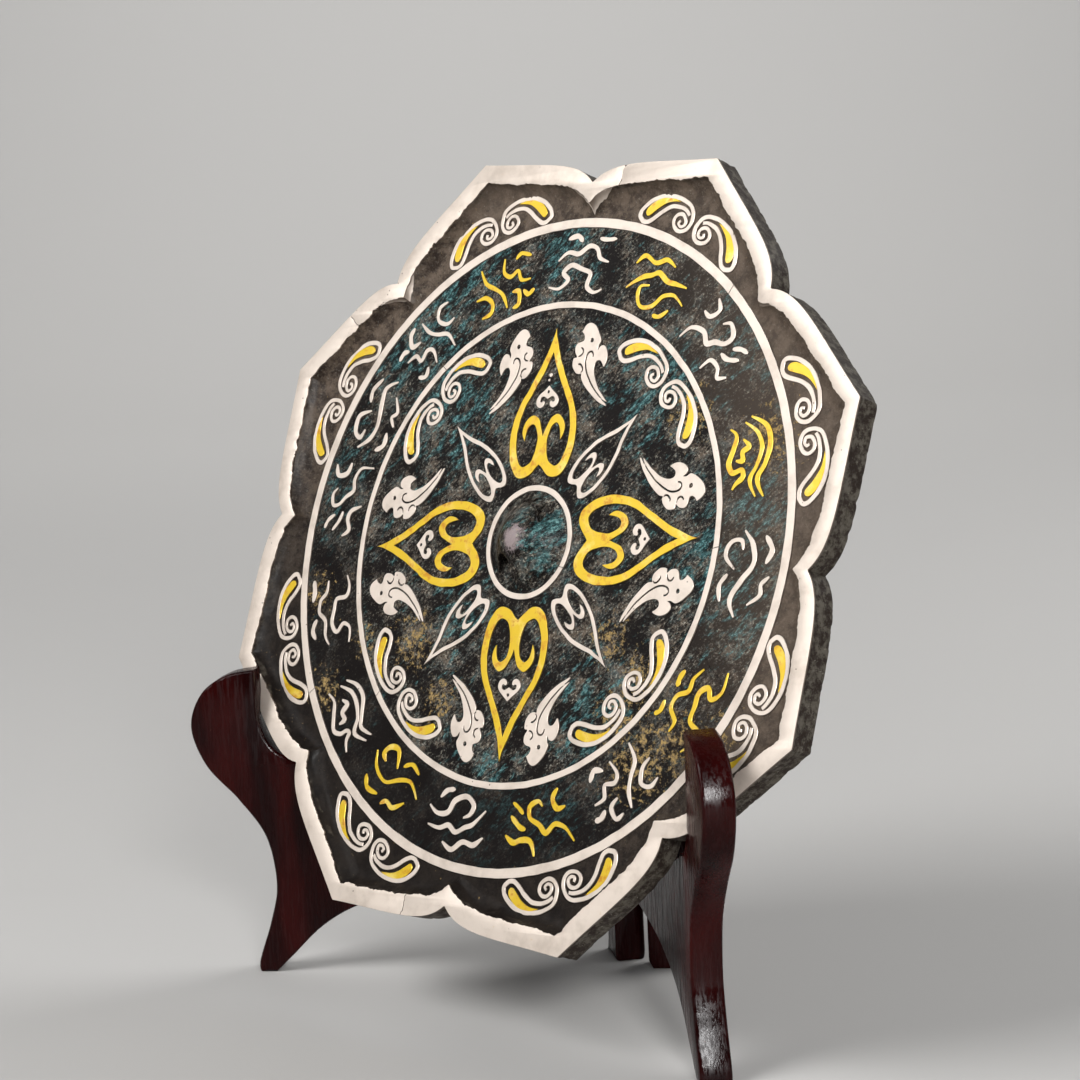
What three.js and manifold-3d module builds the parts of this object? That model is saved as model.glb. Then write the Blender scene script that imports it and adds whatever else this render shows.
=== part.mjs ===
// Ancient bronze mirror: a thick eight-petalled bronze disc with a raised,
// silver-sheathed rim and silver and gold inlay, leaning in a stand made of
// two crossed boards. Millimetres, +Z up, the mirror's inlaid side towards -Y.
import * as THREE from 'three';
import Module from 'manifold-3d';
import { mergeVertices } from 'three/addons/utils/BufferGeometryUtils.js';

const wasm = await Module();
wasm.setup();

// ---------------------------------------------------------------- dimensions
const UNIT = 66; // from the mirror's centre to the tip of a gold heart
const GAP = 0.3; // clearance left between pieces that touch

// The disc, petals and rim.
const PETALS = 8;
const NOTCH_RADIUS = 1.64 * UNIT; // where two petals meet
const PETAL_BULGE = 0.075 * UNIT; // quick swelling beside the notch
const PETAL_RISE = 0.079 * UNIT; // steady growth along half a petal
const PETAL_POINT = 0.085 * UNIT; // last sweep out to the petal's tip
const BULGE_RATE = 7.5;
const RIM_WIDTH = 0.092 * UNIT;
const RIM_SLOPE = 0.03 * UNIT; // run of the rim's inner slope
const RIM_HEIGHT = 4.3; // rim face above the field
const PLATE_DEPTH = 4.2; // field down to the flat reflecting side
const SHEATH_DEPTH = 0.6; // silver on the rim face
const PETAL_TURN = -5.5; // degrees the petals are turned against the inlay

// The knob and the hole through it.
const KNOB_RADIUS = 0.19 * UNIT;
const KNOB_HEIGHT = 0.11 * UNIT;
const KNOB_HOLE_WIDTH = 6;
const KNOB_HOLE_HEIGHT = 3.6;
const KNOB_HOLE_TURN = 55; // degrees from the inlay's horizontal

// Inlay: thin metal laid on the field.
const INLAY_DEPTH = 0.5;
const RINGS = [
  { name: 'silver_ring_knob', radius: 0.247 * UNIT, width: 0.026 * UNIT, sides: 24 },
  { name: 'silver_ring_inner', radius: 1.09 * UNIT, width: 0.03 * UNIT, sides: 40 },
  { name: 'silver_ring_outer', radius: 1.47 * UNIT, width: 0.0425 * UNIT, sides: 48 },
];
const CLOUD_ANGLE = 22; // degrees from a gold heart's axis to a cloud's
const FIELD_SCROLL_DROP = 0.61; // a scroll pair's move in from lobe to field, in units

// How the mirror stands.
const LEAN = 19.1; // degrees back from upright
const ROLL = 4.3; // degrees the inlay is turned, anticlockwise from the front
const CENTRE_HEIGHT = 2.11 * UNIT; // mirror's centre above the floor
const CENTRE_OFFSET = 0.1 * UNIT; // mirror's centre to the right of the stand's

// The stand.
const BOARD_THICKNESS = 0.14 * UNIT;
const BOARD_SPREAD = 53.4; // degrees from a board to the front-back line
const FRONT_FOOT = new THREE.Vector2(-1.375, -0.445).multiplyScalar(UNIT);
const BOARD_STEPS = 20; // facets along each long curve of a board
const LAP_HEIGHT = 0.8 * UNIT; // where the two halves of the crossing meet
const HOOK_BACK = 0.02; // back of the hook, in units behind the foot
const FLOOR_DROP = 0.001; // slot floor below the mirror's lowest point, in units
const SUPPORT_TOP = 2.06; // top of the support behind the mirror, in units

// ----------------------------------------------------------------- materials
const metal = (color, roughness) => new THREE.MeshStandardMaterial({ color, roughness, metalness: 1 });
const bronze = metal(0x2b302f, 0.6);
const silver = metal(0xece2d6, 0.45);
const gold = metal(0xf0bf1e, 0.4);
const lacqueredWood = new THREE.MeshStandardMaterial({ color: 0x430f12, roughness: 0.25, metalness: 0 });

// ------------------------------------------------------------------- helpers
const radians = THREE.MathUtils.degToRad;
const vectors = (pairs, scale = UNIT) => pairs.map(([x, y]) => new THREE.Vector2(x * scale, y * scale));

/** A closed geometry as a solid that can be joined and cut. */
function solidFrom(geometry) {
  const bare = geometry.clone();
  bare.deleteAttribute('normal');
  bare.deleteAttribute('uv');
  const merged = mergeVertices(bare, 1e-4);
  return new wasm.Manifold(new wasm.Mesh({
    numProp: 3,
    vertProperties: new Float32Array(merged.attributes.position.array),
    triVerts: new Uint32Array(merged.index.array),
  }));
}

/** A solid as a geometry. */
function geometryFrom(solid) {
  const mesh = solid.getMesh();
  const geometry = new THREE.BufferGeometry();
  geometry.setAttribute('position', new THREE.BufferAttribute(new Float32Array(mesh.vertProperties), 3));
  geometry.setIndex(new THREE.BufferAttribute(new Uint32Array(mesh.triVerts), 1));
  return geometry;
}

/** A flat outline given a thickness, its lower face at the height bottom. */
function plate(shape, depth, bottom = 0) {
  return new THREE.ExtrudeGeometry(shape, { depth, bevelEnabled: false }).translate(0, 0, bottom);
}

/** A strip of metal along a smooth curve, its width running through the widths given. */
function ribbon(points, widths, steps) {
  const spine = new THREE.SplineCurve(vectors(points));
  const left = [];
  const right = [];
  for (let i = 0; i <= steps; i += 1) {
    const along = i / steps;
    const place = spine.getPoint(along);
    const direction = spine.getTangent(along);
    const slot = along * (widths.length - 1);
    const lower = Math.min(Math.floor(slot), widths.length - 2);
    const width = THREE.MathUtils.lerp(widths[lower], widths[lower + 1], slot - lower) * UNIT;
    const side = new THREE.Vector2(-direction.y, direction.x).multiplyScalar(width / 2);
    left.push(place.clone().add(side));
    right.push(place.clone().sub(side));
  }
  return solidFrom(plate(new THREE.Shape([...left, ...right.reverse()]), INLAY_DEPTH, GAP));
}

/** A round of inlay metal, in units. */
function round(x, y, radius, sides) {
  const shape = new THREE.Shape(new THREE.EllipseCurve(x * UNIT, y * UNIT, radius * UNIT, radius * UNIT)
    .getPoints(sides).slice(0, sides));
  return solidFrom(plate(shape, INLAY_DEPTH, GAP));
}

/** The same points on the other side of the axis x = 0. */
const mirrored = (points) => points.map(([x, y]) => [-x, y]);

function named(name, geometry, material, turn = 0) {
  const mesh = new THREE.Mesh(geometry, material);
  mesh.name = name;
  mesh.rotation.z = radians(turn);
  return mesh;
}

// --------------------------------------------------------------- bronze disc
/** Outer radius of the disc at a share of half a petal, 0 at the notch and 1 at the tip. */
function petalRadius(share) {
  const bulge = PETAL_BULGE * (1 - Math.exp(-BULGE_RATE * share));
  return NOTCH_RADIUS + bulge + PETAL_RISE * share + PETAL_POINT * share ** 3;
}

/** The petalled outline, moved in or out along the radius. */
function petalOutline(move = 0) {
  const shares = [0, 0.08, 0.2, 0.4, 0.7];
  const halfAngle = 180 / PETALS;
  const points = [];
  for (let petal = 0; petal < PETALS; petal += 1) {
    const start = PETAL_TURN + petal * 2 * halfAngle;
    const rising = shares.map((share) => [start + share * halfAngle, share]);
    const falling = [1, ...shares.slice(1).reverse()].map((share) => [start + (2 - share) * halfAngle, share]);
    [...rising, ...falling].forEach(([angle, share]) => {
      const radius = petalRadius(share) + move;
      points.push(new THREE.Vector2(radius * Math.cos(radians(angle)), radius * Math.sin(radians(angle))));
    });
  }
  return points;
}

/** A closed surface through rings of equal point counts, capped at both ends. */
function loft(rings) {
  const count = rings[0].points.length;
  const positions = rings.flatMap(({ points, z }) => points.flatMap((p) => [p.x, p.y, z]));
  const faces = [];
  for (let ring = 0; ring + 1 < rings.length; ring += 1) {
    for (let i = 0; i < count; i += 1) {
      const a = ring * count + i;
      const b = ring * count + ((i + 1) % count);
      faces.push(a, b, b + count, a, b + count, a + count);
    }
  }
  const lastRing = (rings.length - 1) * count;
  const bottomCentre = positions.length / 3;
  positions.push(0, 0, rings[0].z, 0, 0, rings[rings.length - 1].z);
  for (let i = 0; i < count; i += 1) {
    const next = (i + 1) % count;
    faces.push(bottomCentre, next, i, bottomCentre + 1, lastRing + i, lastRing + next);
  }
  const geometry = new THREE.BufferGeometry();
  geometry.setAttribute('position', new THREE.Float32BufferAttribute(positions, 3));
  geometry.setIndex(faces);
  return geometry;
}

function bronzeDisc() {
  const seat = RIM_HEIGHT - SHEATH_DEPTH - GAP; // bronze under the silver sheath
  const disc = solidFrom(loft([
    { points: petalOutline(), z: -PLATE_DEPTH },
    { points: petalOutline(), z: seat },
    { points: petalOutline(-RIM_WIDTH), z: seat },
    { points: petalOutline(-RIM_WIDTH - RIM_SLOPE), z: 0 },
  ]));
  const dome = [new THREE.Vector2(0, -1), new THREE.Vector2(KNOB_RADIUS, -1)];
  for (let degrees = 0; degrees <= 90; degrees += 22.5) {
    const angle = radians(degrees);
    dome.push(new THREE.Vector2(KNOB_RADIUS * Math.cos(angle), KNOB_HEIGHT * Math.sin(angle)));
  }
  const knob = solidFrom(new THREE.LatheGeometry(dome, 24).rotateX(Math.PI / 2));
  const hole = new THREE.BoxGeometry(3 * KNOB_RADIUS, KNOB_HOLE_WIDTH, KNOB_HOLE_HEIGHT)
    .translate(0, 0, KNOB_HOLE_HEIGHT / 2 + 0.6)
    .rotateZ(radians(KNOB_HOLE_TURN));
  return geometryFrom(disc.add(knob.subtract(solidFrom(hole))));
}

function silverSheath() {
  const shape = new THREE.Shape(petalOutline());
  shape.holes.push(new THREE.Path(petalOutline(-RIM_WIDTH)));
  return plate(shape, SHEATH_DEPTH, RIM_HEIGHT - SHEATH_DEPTH);
}

function flatRing({ radius, width, sides }) {
  const circle = (r) => new THREE.EllipseCurve(0, 0, r, r).getPoints(sides).slice(0, sides);
  const shape = new THREE.Shape(circle(radius + width / 2));
  shape.holes.push(new THREE.Path(circle(radius - width / 2)));
  return plate(shape, INLAY_DEPTH, GAP);
}

// ---------------------------------------------------------------- the motifs
// Each is drawn in units of the heart reach, its axis along +Y from the centre.

/** A heart of two strips that run from the tip round the lobe and curl up inside. */
function heart(points, widths, steps) {
  return geometryFrom(ribbon(points, widths, steps).add(ribbon(mirrored(points), widths, steps)));
}

const GOLD_HEART = {
  points: [[0.004, 0.95], [0.05, 0.81], [0.12, 0.68], [0.17, 0.575], [0.18, 0.46], [0.155, 0.365],
    [0.1, 0.325], [0.04, 0.355], [0.019, 0.42], [0.024, 0.5], [0.07, 0.563], [0.117, 0.5], [0.11, 0.468]],
  widths: [0.03, 0.04, 0.042, 0.04, 0.04, 0.045, 0.04, 0.036, 0.012],
};
const SILVER_HEART = {
  points: [[0.002, 0.76], [0.03, 0.67], [0.063, 0.59], [0.087, 0.51], [0.088, 0.43], [0.07, 0.36],
    [0.04, 0.347], [0.012, 0.38], [0.009, 0.45], [0.03, 0.512], [0.057, 0.455]],
  widths: [0.014, 0.018, 0.016, 0.02, 0.02, 0.018, 0.008],
};

/** A cloud: a body with a round head and a long curved tail, and curls on its two sides. */
function cloud(side) {
  const place = (points) => (side > 0 ? points : mirrored(points));
  const body = place([[-0.15, 0.975], [-0.13, 0.9], [-0.11, 0.83], [-0.06, 0.775], [0.02, 0.73], [0.1, 0.7]]);
  const leaf = place([[-0.11, 0.88], [-0.05, 0.905], [-0.01, 0.885], [-0.002, 0.845]]);
  const curls = [[-0.165, 0.872, 0.042], [-0.15, 0.812, 0.042], [-0.05, 0.905, 0.026]];
  const strips = ribbon(body, [0.06, 0.13, 0.11, 0.085, 0.055, 0.015], 5)
    .add(ribbon(leaf, [0.05, 0.055, 0.05, 0.012], 3));
  return geometryFrom(curls.reduce((whole, [x, y, r]) => whole.add(round(side * x, y, r, 6)), strips));
}

/** A scroll: a leaf-shaped loop whose stem winds into a spiral beside the pair's axis. */
function scroll(side, drop = 0) {
  const lowered = (points) => points.map(([x, y]) => [side * x, y - drop]);
  const spiralCentre = [0.082, 1.556];
  const spiralRadii = [0.02, 0.034, 0.036, 0.037, 0.037, 0.04, 0.052, 0.066];
  const spiral = spiralRadii.map((radius, turn) => {
    const angle = radians(-130 - 60 * turn);
    return [spiralCentre[0] + radius * Math.cos(angle), spiralCentre[1] + radius * Math.sin(angle)];
  });
  const outer = [...spiral, [0.05, 1.635], [0.13, 1.648], [0.22, 1.628], [0.29, 1.575], [0.32, 1.515], [0.284, 1.48]];
  const inner = [[0.29, 1.479], [0.242, 1.503], [0.21, 1.562], [0.15, 1.606], [0.09, 1.615], [0.036, 1.6]];
  return geometryFrom(ribbon(lowered(outer), [0.016, 0.018, 0.018, 0.02, 0.02], 13)
    .add(ribbon(lowered(inner), [0.02, 0.018, 0.016], 4)));
}

// ----------------------------------------------------------------- the stand
const boardDirection = (side) => new THREE.Vector2(side * -Math.sin(radians(BOARD_SPREAD)),
  Math.cos(radians(BOARD_SPREAD)));

/** Turns a board drawn as (distance behind the foot, height) upright, on its side of the stand. */
function boardPlacement(side) {
  const direction = boardDirection(side);
  const along = new THREE.Vector3(direction.x, direction.y, 0);
  const up = new THREE.Vector3(0, 0, 1);
  const across = new THREE.Vector3().crossVectors(along, up);
  return new THREE.Matrix4().makeBasis(along, up, across)
    .setPosition(-side * FRONT_FOOT.x, FRONT_FOOT.y, 0);
}

/** Where the plane of the mirror's back crosses a board's inner face, in units. */
function supportDistance(height) {
  const back = (height - CENTRE_HEIGHT / UNIT) * Math.tan(radians(LEAN))
    + (PLATE_DEPTH + GAP) / UNIT / Math.cos(radians(LEAN));
  return (back - FRONT_FOOT.y / UNIT) / Math.cos(radians(BOARD_SPREAD));
}

/** Side view of a board: front foot, hook, slot, leaning support, crossing and back foot. */
function boardOutline(slotFloor) {
  const curve = (points, steps) => new THREE.SplineCurve(vectors(points)).getPoints(steps);
  const top = supportDistance(SUPPORT_TOP);
  const front = curve([[-0.035, 0], [-0.035, 0.06], [0.03, 0.25], [0.067, 0.43], [0.03, 0.66], [-0.09, 0.84],
    [-0.24, 1.01], [-0.305, 1.2], [-0.245, 1.36], [-0.12, 1.445], [HOOK_BACK, 1.47]], BOARD_STEPS);
  const hollow = curve([[HOOK_BACK, 1.3], [HOOK_BACK + 0.006, slotFloor + 0.2], [HOOK_BACK + 0.035, slotFloor + 0.11],
    [HOOK_BACK + 0.09, slotFloor + 0.04], [HOOK_BACK + 0.19, slotFloor]], 8);
  const slot = [...hollow, ...vectors([[supportDistance(slotFloor), slotFloor]])];
  const rear = curve([[top, SUPPORT_TOP], [top + 0.05, 2.13], [top + 0.14, 2.11], [1.1, 1.84], [1.25, 1.47],
    [1.55, 1.25], [1.86, 1.13], [2.07, 0.93], [2.1, 0.6], [2.03, 0.3], [2.07, 0.08], [2.1, 0]], BOARD_STEPS);
  const backFoot = vectors([[1.86, 0], [1.84, 0.04]]);
  const arch = curve([[1.84, 0.3], [1.8, 0.4], [1.66, 0.44], [1.2, 0.44], [0.75, 0.4], [0.46, 0.32],
    [0.28, 0.22], [0.13, 0.08], [0.045, 0]], BOARD_STEPS);
  return new THREE.Shape([...front, ...slot, ...rear, ...backFoot, ...arch]);
}

/** A block as thick as a board at the crossing, with clearance, between two heights. */
function lapBlock(side, low, high) {
  const crossing = -FRONT_FOOT.x / Math.sin(radians(BOARD_SPREAD));
  const thickness = BOARD_THICKNESS + 2 * GAP;
  return solidFrom(new THREE.BoxGeometry(UNIT, high - low, thickness)
    .translate(crossing, (low + high) / 2, side * BOARD_THICKNESS / 2)
    .applyMatrix4(boardPlacement(side)));
}

function board(side, mirrorRoom, slotFloor) {
  const geometry = plate(boardOutline(slotFloor), BOARD_THICKNESS, side > 0 ? 0 : -BOARD_THICKNESS)
    .applyMatrix4(boardPlacement(side));
  const tall = 2 * UNIT * SUPPORT_TOP;
  const lap = side > 0
    ? lapBlock(-side, -UNIT, LAP_HEIGHT + GAP / 2)
    : lapBlock(-side, LAP_HEIGHT - GAP / 2, tall);
  return solidFrom(geometry).subtract(lap).subtract(mirrorRoom);
}

/** Height of the mirror's lowest point between the two faces of a board, in units. */
function restingHeight(side, mirrorRoom) {
  const slab = solidFrom(new THREE.BoxGeometry(UNIT, 2 * UNIT, BOARD_THICKNESS)
    .translate(UNIT * 0.3, 1.5 * UNIT, side * BOARD_THICKNESS / 2)
    .applyMatrix4(boardPlacement(side)));
  const { vertProperties } = mirrorRoom.intersect(slab).getMesh();
  const heights = vertProperties.filter((_, index) => index % 3 === 2);
  return Math.min(...heights) / UNIT;
}

// ------------------------------------------------------------------ assembly
const object = new THREE.Group();
const mirror = new THREE.Group();
mirror.position.set(CENTRE_OFFSET, 0, CENTRE_HEIGHT);
mirror.rotation.set(Math.PI / 2 - radians(LEAN), 0, radians(ROLL));
mirror.add(named('bronze_mirror', bronzeDisc(), bronze));
mirror.add(named('silver_rim', silverSheath(), silver));
RINGS.forEach((ring) => mirror.add(named(ring.name, flatRing(ring), silver)));
for (let quarter = 0; quarter < 4; quarter += 1) {
  const turn = -90 * quarter;
  const { points, widths } = GOLD_HEART;
  mirror.add(named(`gold_heart_${quarter + 1}`, heart(points, widths, 12), gold, turn));
  mirror.add(named(`silver_heart_${quarter + 1}`,
    heart(SILVER_HEART.points, SILVER_HEART.widths, 10), silver, turn - 45));
  [-1, 1].forEach((side) => {
    const place = side > 0 ? 'b' : 'a';
    mirror.add(named(`silver_cloud_${quarter + 1}${place}`, cloud(side), silver, turn - side * CLOUD_ANGLE));
    mirror.add(named(`silver_field_scroll_${quarter + 1}${place}`,
      scroll(side, FIELD_SCROLL_DROP), silver, turn - 45));
  });
}
for (let petal = 0; petal < PETALS; petal += 1) {
  const turn = PETAL_TURN - 22.5 - 45 * petal;
  mirror.add(named(`silver_petal_scroll_${petal + 1}a`, scroll(-1), silver, turn));
  mirror.add(named(`silver_petal_scroll_${petal + 1}b`, scroll(1), silver, turn));
}
object.add(mirror);

mirror.updateWorldMatrix(true, false);
const mirrorRoom = solidFrom(plate(new THREE.Shape(petalOutline(GAP)), RIM_HEIGHT + PLATE_DEPTH + 2 * GAP,
  -PLATE_DEPTH - GAP).applyMatrix4(mirror.matrixWorld));
[[-1, 'stand_board_left'], [1, 'stand_board_right']].forEach(([side, name]) => {
  const slotFloor = restingHeight(side, mirrorRoom) - FLOOR_DROP;
  object.add(named(name, geometryFrom(board(side, mirrorRoom, slotFloor)), lacqueredWood));
});

// The origin is the middle of the footprint of the whole, on the floor.
const bounds = new THREE.Box3().setFromObject(object, true);
object.position.set(-(bounds.min.x + bounds.max.x) / 2, -(bounds.min.y + bounds.max.y) / 2, -bounds.min.z);

export default object;
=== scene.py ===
"""An old bronze mirror inlaid with silver and gold, resting in a stand of two crossed lacquered boards."""

import logging
import math
import random
from dataclasses import dataclass, field
from enum import Enum
from typing import Callable, Sequence

import bmesh
import bpy
from mathutils import Euler, Matrix, Vector, noise


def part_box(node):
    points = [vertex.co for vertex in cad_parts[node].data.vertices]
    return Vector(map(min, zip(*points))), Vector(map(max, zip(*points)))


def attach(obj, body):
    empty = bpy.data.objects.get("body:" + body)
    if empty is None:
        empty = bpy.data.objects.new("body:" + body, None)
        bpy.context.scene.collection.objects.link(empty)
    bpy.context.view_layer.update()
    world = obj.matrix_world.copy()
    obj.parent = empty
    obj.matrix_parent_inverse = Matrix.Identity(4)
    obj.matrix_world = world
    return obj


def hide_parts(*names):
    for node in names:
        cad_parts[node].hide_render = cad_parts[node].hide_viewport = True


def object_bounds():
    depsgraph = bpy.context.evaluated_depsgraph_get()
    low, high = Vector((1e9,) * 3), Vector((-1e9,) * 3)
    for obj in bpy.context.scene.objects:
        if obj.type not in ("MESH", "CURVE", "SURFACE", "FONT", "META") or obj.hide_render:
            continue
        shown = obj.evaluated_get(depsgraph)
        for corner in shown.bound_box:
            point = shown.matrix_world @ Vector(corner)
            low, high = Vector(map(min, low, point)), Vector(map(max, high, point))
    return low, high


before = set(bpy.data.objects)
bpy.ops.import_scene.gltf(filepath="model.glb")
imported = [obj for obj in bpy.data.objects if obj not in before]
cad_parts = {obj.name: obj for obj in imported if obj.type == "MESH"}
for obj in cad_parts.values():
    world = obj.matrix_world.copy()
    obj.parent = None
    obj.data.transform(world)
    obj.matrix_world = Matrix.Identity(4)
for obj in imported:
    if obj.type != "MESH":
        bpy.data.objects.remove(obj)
CAD_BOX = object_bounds()

logging.basicConfig(level=logging.INFO, format="%(message)s")
LOG = logging.getLogger("bronze_mirror")

UNIT = 0.066  # metres from the mirror's centre to the tip of a gold heart
MM = 0.001
FACE_TOP = 0.45 * MM  # height of the inlay above the field
FILL_TURNS = (0, 20, 33, 47, 71, 360)  # degrees that an outline is turned by in turn, until its fill is closed
RIPPLE_SEED = 7  # keeps the unevenness of the edges the same each run

Point = tuple[float, float]
Loop = list[Point]


class Metal(Enum):
    """The finishes of the record, by slot."""

    BRONZE = "bronze"
    SILVER = "silver"
    GOLD = "gold"
    LACQUER = "lacquered_wood"


# ---------------------------------------------------------------- drawing


def catmull(points: Sequence[Point], per_span: int = 8) -> Loop:
    """Gives a smooth open line through points.

    Args:
        points: the points to pass through.
        per_span: steps between two points.

    Returns:
        The points of the smooth line, both ends included.
    """
    line: Loop = []
    last = len(points) - 1
    for start in range(last):
        four = [points[max(start - 1, 0)], points[start], points[start + 1], points[min(start + 2, last)]]
        for step in range(per_span):
            line.append(_on_span(four, step / per_span))
    line.append(tuple(points[last]))
    return line


def _on_span(four: Sequence[Point], t: float) -> Point:
    """Gives the point at share t of a Catmull-Rom span."""
    result = []
    for a, b, c, d in zip(*four):
        ease_in, ease_out = (c - a) / 2, (d - b) / 2
        cubic = (2 * b - 2 * c + ease_in + ease_out) * t**3
        result.append(cubic + (-3 * b + 3 * c - 2 * ease_in - ease_out) * t**2 + ease_in * t + b)
    return result[0], result[1]


def ribbon(points: Sequence[Point], widths: Sequence[float], per_span: int = 8) -> Loop:
    """Gives the outline of a strip along a smooth line.

    Args:
        points: the points of the strip's middle line.
        widths: widths spread evenly along it.
        per_span: steps between two points.

    Returns:
        The closed outline.
    """
    line = catmull(points, per_span)
    left: Loop = []
    right: Loop = []
    last = len(line) - 1
    for index, (x, y) in enumerate(line):
        before, after = line[max(index - 1, 0)], line[min(index + 1, last)]
        along = Vector((after[0] - before[0], after[1] - before[1])).normalized()
        place = index / last * (len(widths) - 1)
        lower = min(int(place), len(widths) - 2)
        half = (widths[lower] + (widths[lower + 1] - widths[lower]) * (place - lower)) / 2
        left.append((x - along.y * half, y + along.x * half))
        right.append((x + along.y * half, y - along.x * half))
    return left + right[::-1]


def both_sides(half: Loop) -> Loop:
    """Closes half an outline, drawn from the axis to the axis, with its mirror image."""
    return half + [(-x, y) for x, y in half[-2:0:-1]]


def across(loops: Sequence[Loop]) -> list[Loop]:
    """Gives loops on the other side of the axis."""
    return [[(-x, y) for x, y in loop] for loop in loops]


def circle(x: float, y: float, radius: float, sides: int = 16) -> Loop:
    """Gives a round outline."""
    turns = [math.tau * side / sides for side in range(sides)]
    return [(x + radius * math.cos(turn), y + radius * math.sin(turn)) for turn in turns]


# ---------------------------------------------------------------- making


def deselect() -> None:
    """Leaves object mode with nothing selected."""
    if bpy.context.object and bpy.context.object.mode != "OBJECT":
        bpy.ops.object.mode_set(mode="OBJECT")
    bpy.ops.object.select_all(action="DESELECT")


def take(piece: bpy.types.Object) -> bpy.types.Object:
    """Selects one piece alone and makes it active."""
    deselect()
    piece.select_set(True)
    bpy.context.view_layer.objects.active = piece
    return piece


def tidy_mesh(piece: bpy.types.Object, distance: float = 1e-6) -> None:
    """Merges doubled points and turns the faces outwards."""
    take(piece)
    bpy.ops.object.mode_set(mode="EDIT")
    bpy.ops.mesh.select_all(action="SELECT")
    bpy.ops.mesh.remove_doubles(threshold=distance)
    bpy.ops.mesh.normals_make_consistent(inside=False)
    bpy.ops.object.mode_set(mode="OBJECT")


def smooth(piece: bpy.types.Object, degrees: float = 35.0) -> None:
    """Shades a piece smooth across edges flatter than an angle."""
    take(piece)
    bpy.ops.object.shade_smooth_by_angle(angle=math.radians(degrees))


def apply_modifier(piece: bpy.types.Object, kind: str, **settings: object) -> None:
    """Adds a modifier to a piece and applies it."""
    take(piece)
    modifier = piece.modifiers.new(kind.lower(), kind)
    for name, value in settings.items():
        setattr(modifier, name, value)
    bpy.ops.object.modifier_apply(modifier=modifier.name)


def is_closed(piece: bpy.types.Object) -> bool:
    """Tells whether every edge of a piece lies between two faces."""
    mesh = bmesh.new()
    mesh.from_mesh(piece.data)
    closed = all(edge.is_manifold for edge in mesh.edges)
    mesh.free()
    return closed


def cut_plate(name: str, loops: Sequence[Loop], top: float, depth: float, edge: float,
              edge_steps: int = 1, scale: float = UNIT) -> bpy.types.Object:
    """Makes a flat plate with eased edges from outlines, turned while it is filled until the fill is closed.

    Args:
        name: the piece's name.
        loops: outlines; one inside another is a hole.
        top: height of the upper face in metres.
        depth: thickness in metres.
        edge: size of the eased edge in metres.
        edge_steps: facets round the edge.
        scale: metres to one unit of the outlines.

    Returns:
        The plate as a mesh piece.
    """
    for degrees in FILL_TURNS:
        slant = Matrix.Rotation(math.radians(degrees), 4, "Z")
        piece = fill_plate(name, [[(slant @ Vector((x * scale, y * scale, 0))).xy for x, y in loop] for loop in loops],
                           depth, edge, edge_steps)
        if is_closed(piece) or degrees == FILL_TURNS[-1]:
            break
        bpy.data.objects.remove(piece)
    piece.data.transform(Matrix.Translation((0, 0, top - depth / 2)) @ slant.inverted())
    return piece


def fill_plate(name: str, loops: Sequence[Sequence[Vector]], depth: float, edge: float,
               edge_steps: int) -> bpy.types.Object:
    """Makes a plate about the ground plane from outlines in metres."""
    curve = bpy.data.curves.new(name, "CURVE")
    curve.dimensions = "2D"
    curve.fill_mode = "BOTH"
    curve.extrude = depth / 2 - edge
    curve.bevel_depth = edge
    curve.bevel_resolution = edge_steps - 1
    curve.offset = -edge
    for loop in loops:
        spline = curve.splines.new("POLY")
        spline.points.add(len(loop) - 1)
        for spot, place in zip(spline.points, loop):
            spot.co = (*place, 0, 1)
        spline.use_cyclic_u = True
    piece = bpy.data.objects.new(name, curve)
    bpy.context.scene.collection.objects.link(piece)
    take(piece)
    bpy.ops.object.convert(target="MESH")
    piece = bpy.context.object
    tidy_mesh(piece)
    return piece


def join(pieces: Sequence[bpy.types.Object], name: str) -> bpy.types.Object:
    """Joins pieces into the first one and names it."""
    take(pieces[0])
    for piece in pieces[1:]:
        piece.select_set(True)
    if len(pieces) > 1:
        bpy.ops.object.join()
    pieces[0].name = name
    pieces[0].data.name = name
    return pieces[0]


def wear(piece: bpy.types.Object, sideways: float, grain: float) -> None:
    """Moves a face piece's points a little in its plane, so that no edge is quite true.

    Args:
        piece: the piece, in the mirror's own plane.
        sideways: most that a point moves, in metres.
        grain: size of the unevenness in metres.
    """
    for vertex in piece.data.vertices:
        drift = noise.noise_vector(Vector((vertex.co.x, vertex.co.y, 0)) / grain)
        vertex.co.x += drift.x * sideways
        vertex.co.y += drift.y * sideways


# ---------------------------------------------------------------- place of the mirror


@dataclass(frozen=True)
class MirrorPlace:
    """Where the mirror's own plane lies: its face is z = 0, and its inlay's top is +y."""

    lean: float = 19.1
    roll: float = 4.3
    ring_height: float = 0.55 * MM

    @property
    def turn(self) -> Matrix:
        """The turn from the mirror's plane to the whole."""
        tilt = Matrix.Rotation(math.radians(90 - self.lean), 4, "X")
        return tilt @ Matrix.Rotation(math.radians(self.roll), 4, "Z")

    @property
    def centre(self) -> Vector:
        """The middle of the mirror's field."""
        low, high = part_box("silver_ring_outer")
        return (low + high) / 2 - self.turn.to_3x3() @ Vector((0, 0, self.ring_height))

    @property
    def matrix(self) -> Matrix:
        """From the mirror's plane to the whole."""
        return Matrix.Translation(self.centre) @ self.turn

    @property
    def stand_shift(self) -> Vector:
        """How far the middle of the stand lies from the origin."""
        return Vector((self.centre.x - 0.1 * UNIT, self.centre.y, 0))


PLACE = MirrorPlace()


# ---------------------------------------------------------------- finishes


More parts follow.
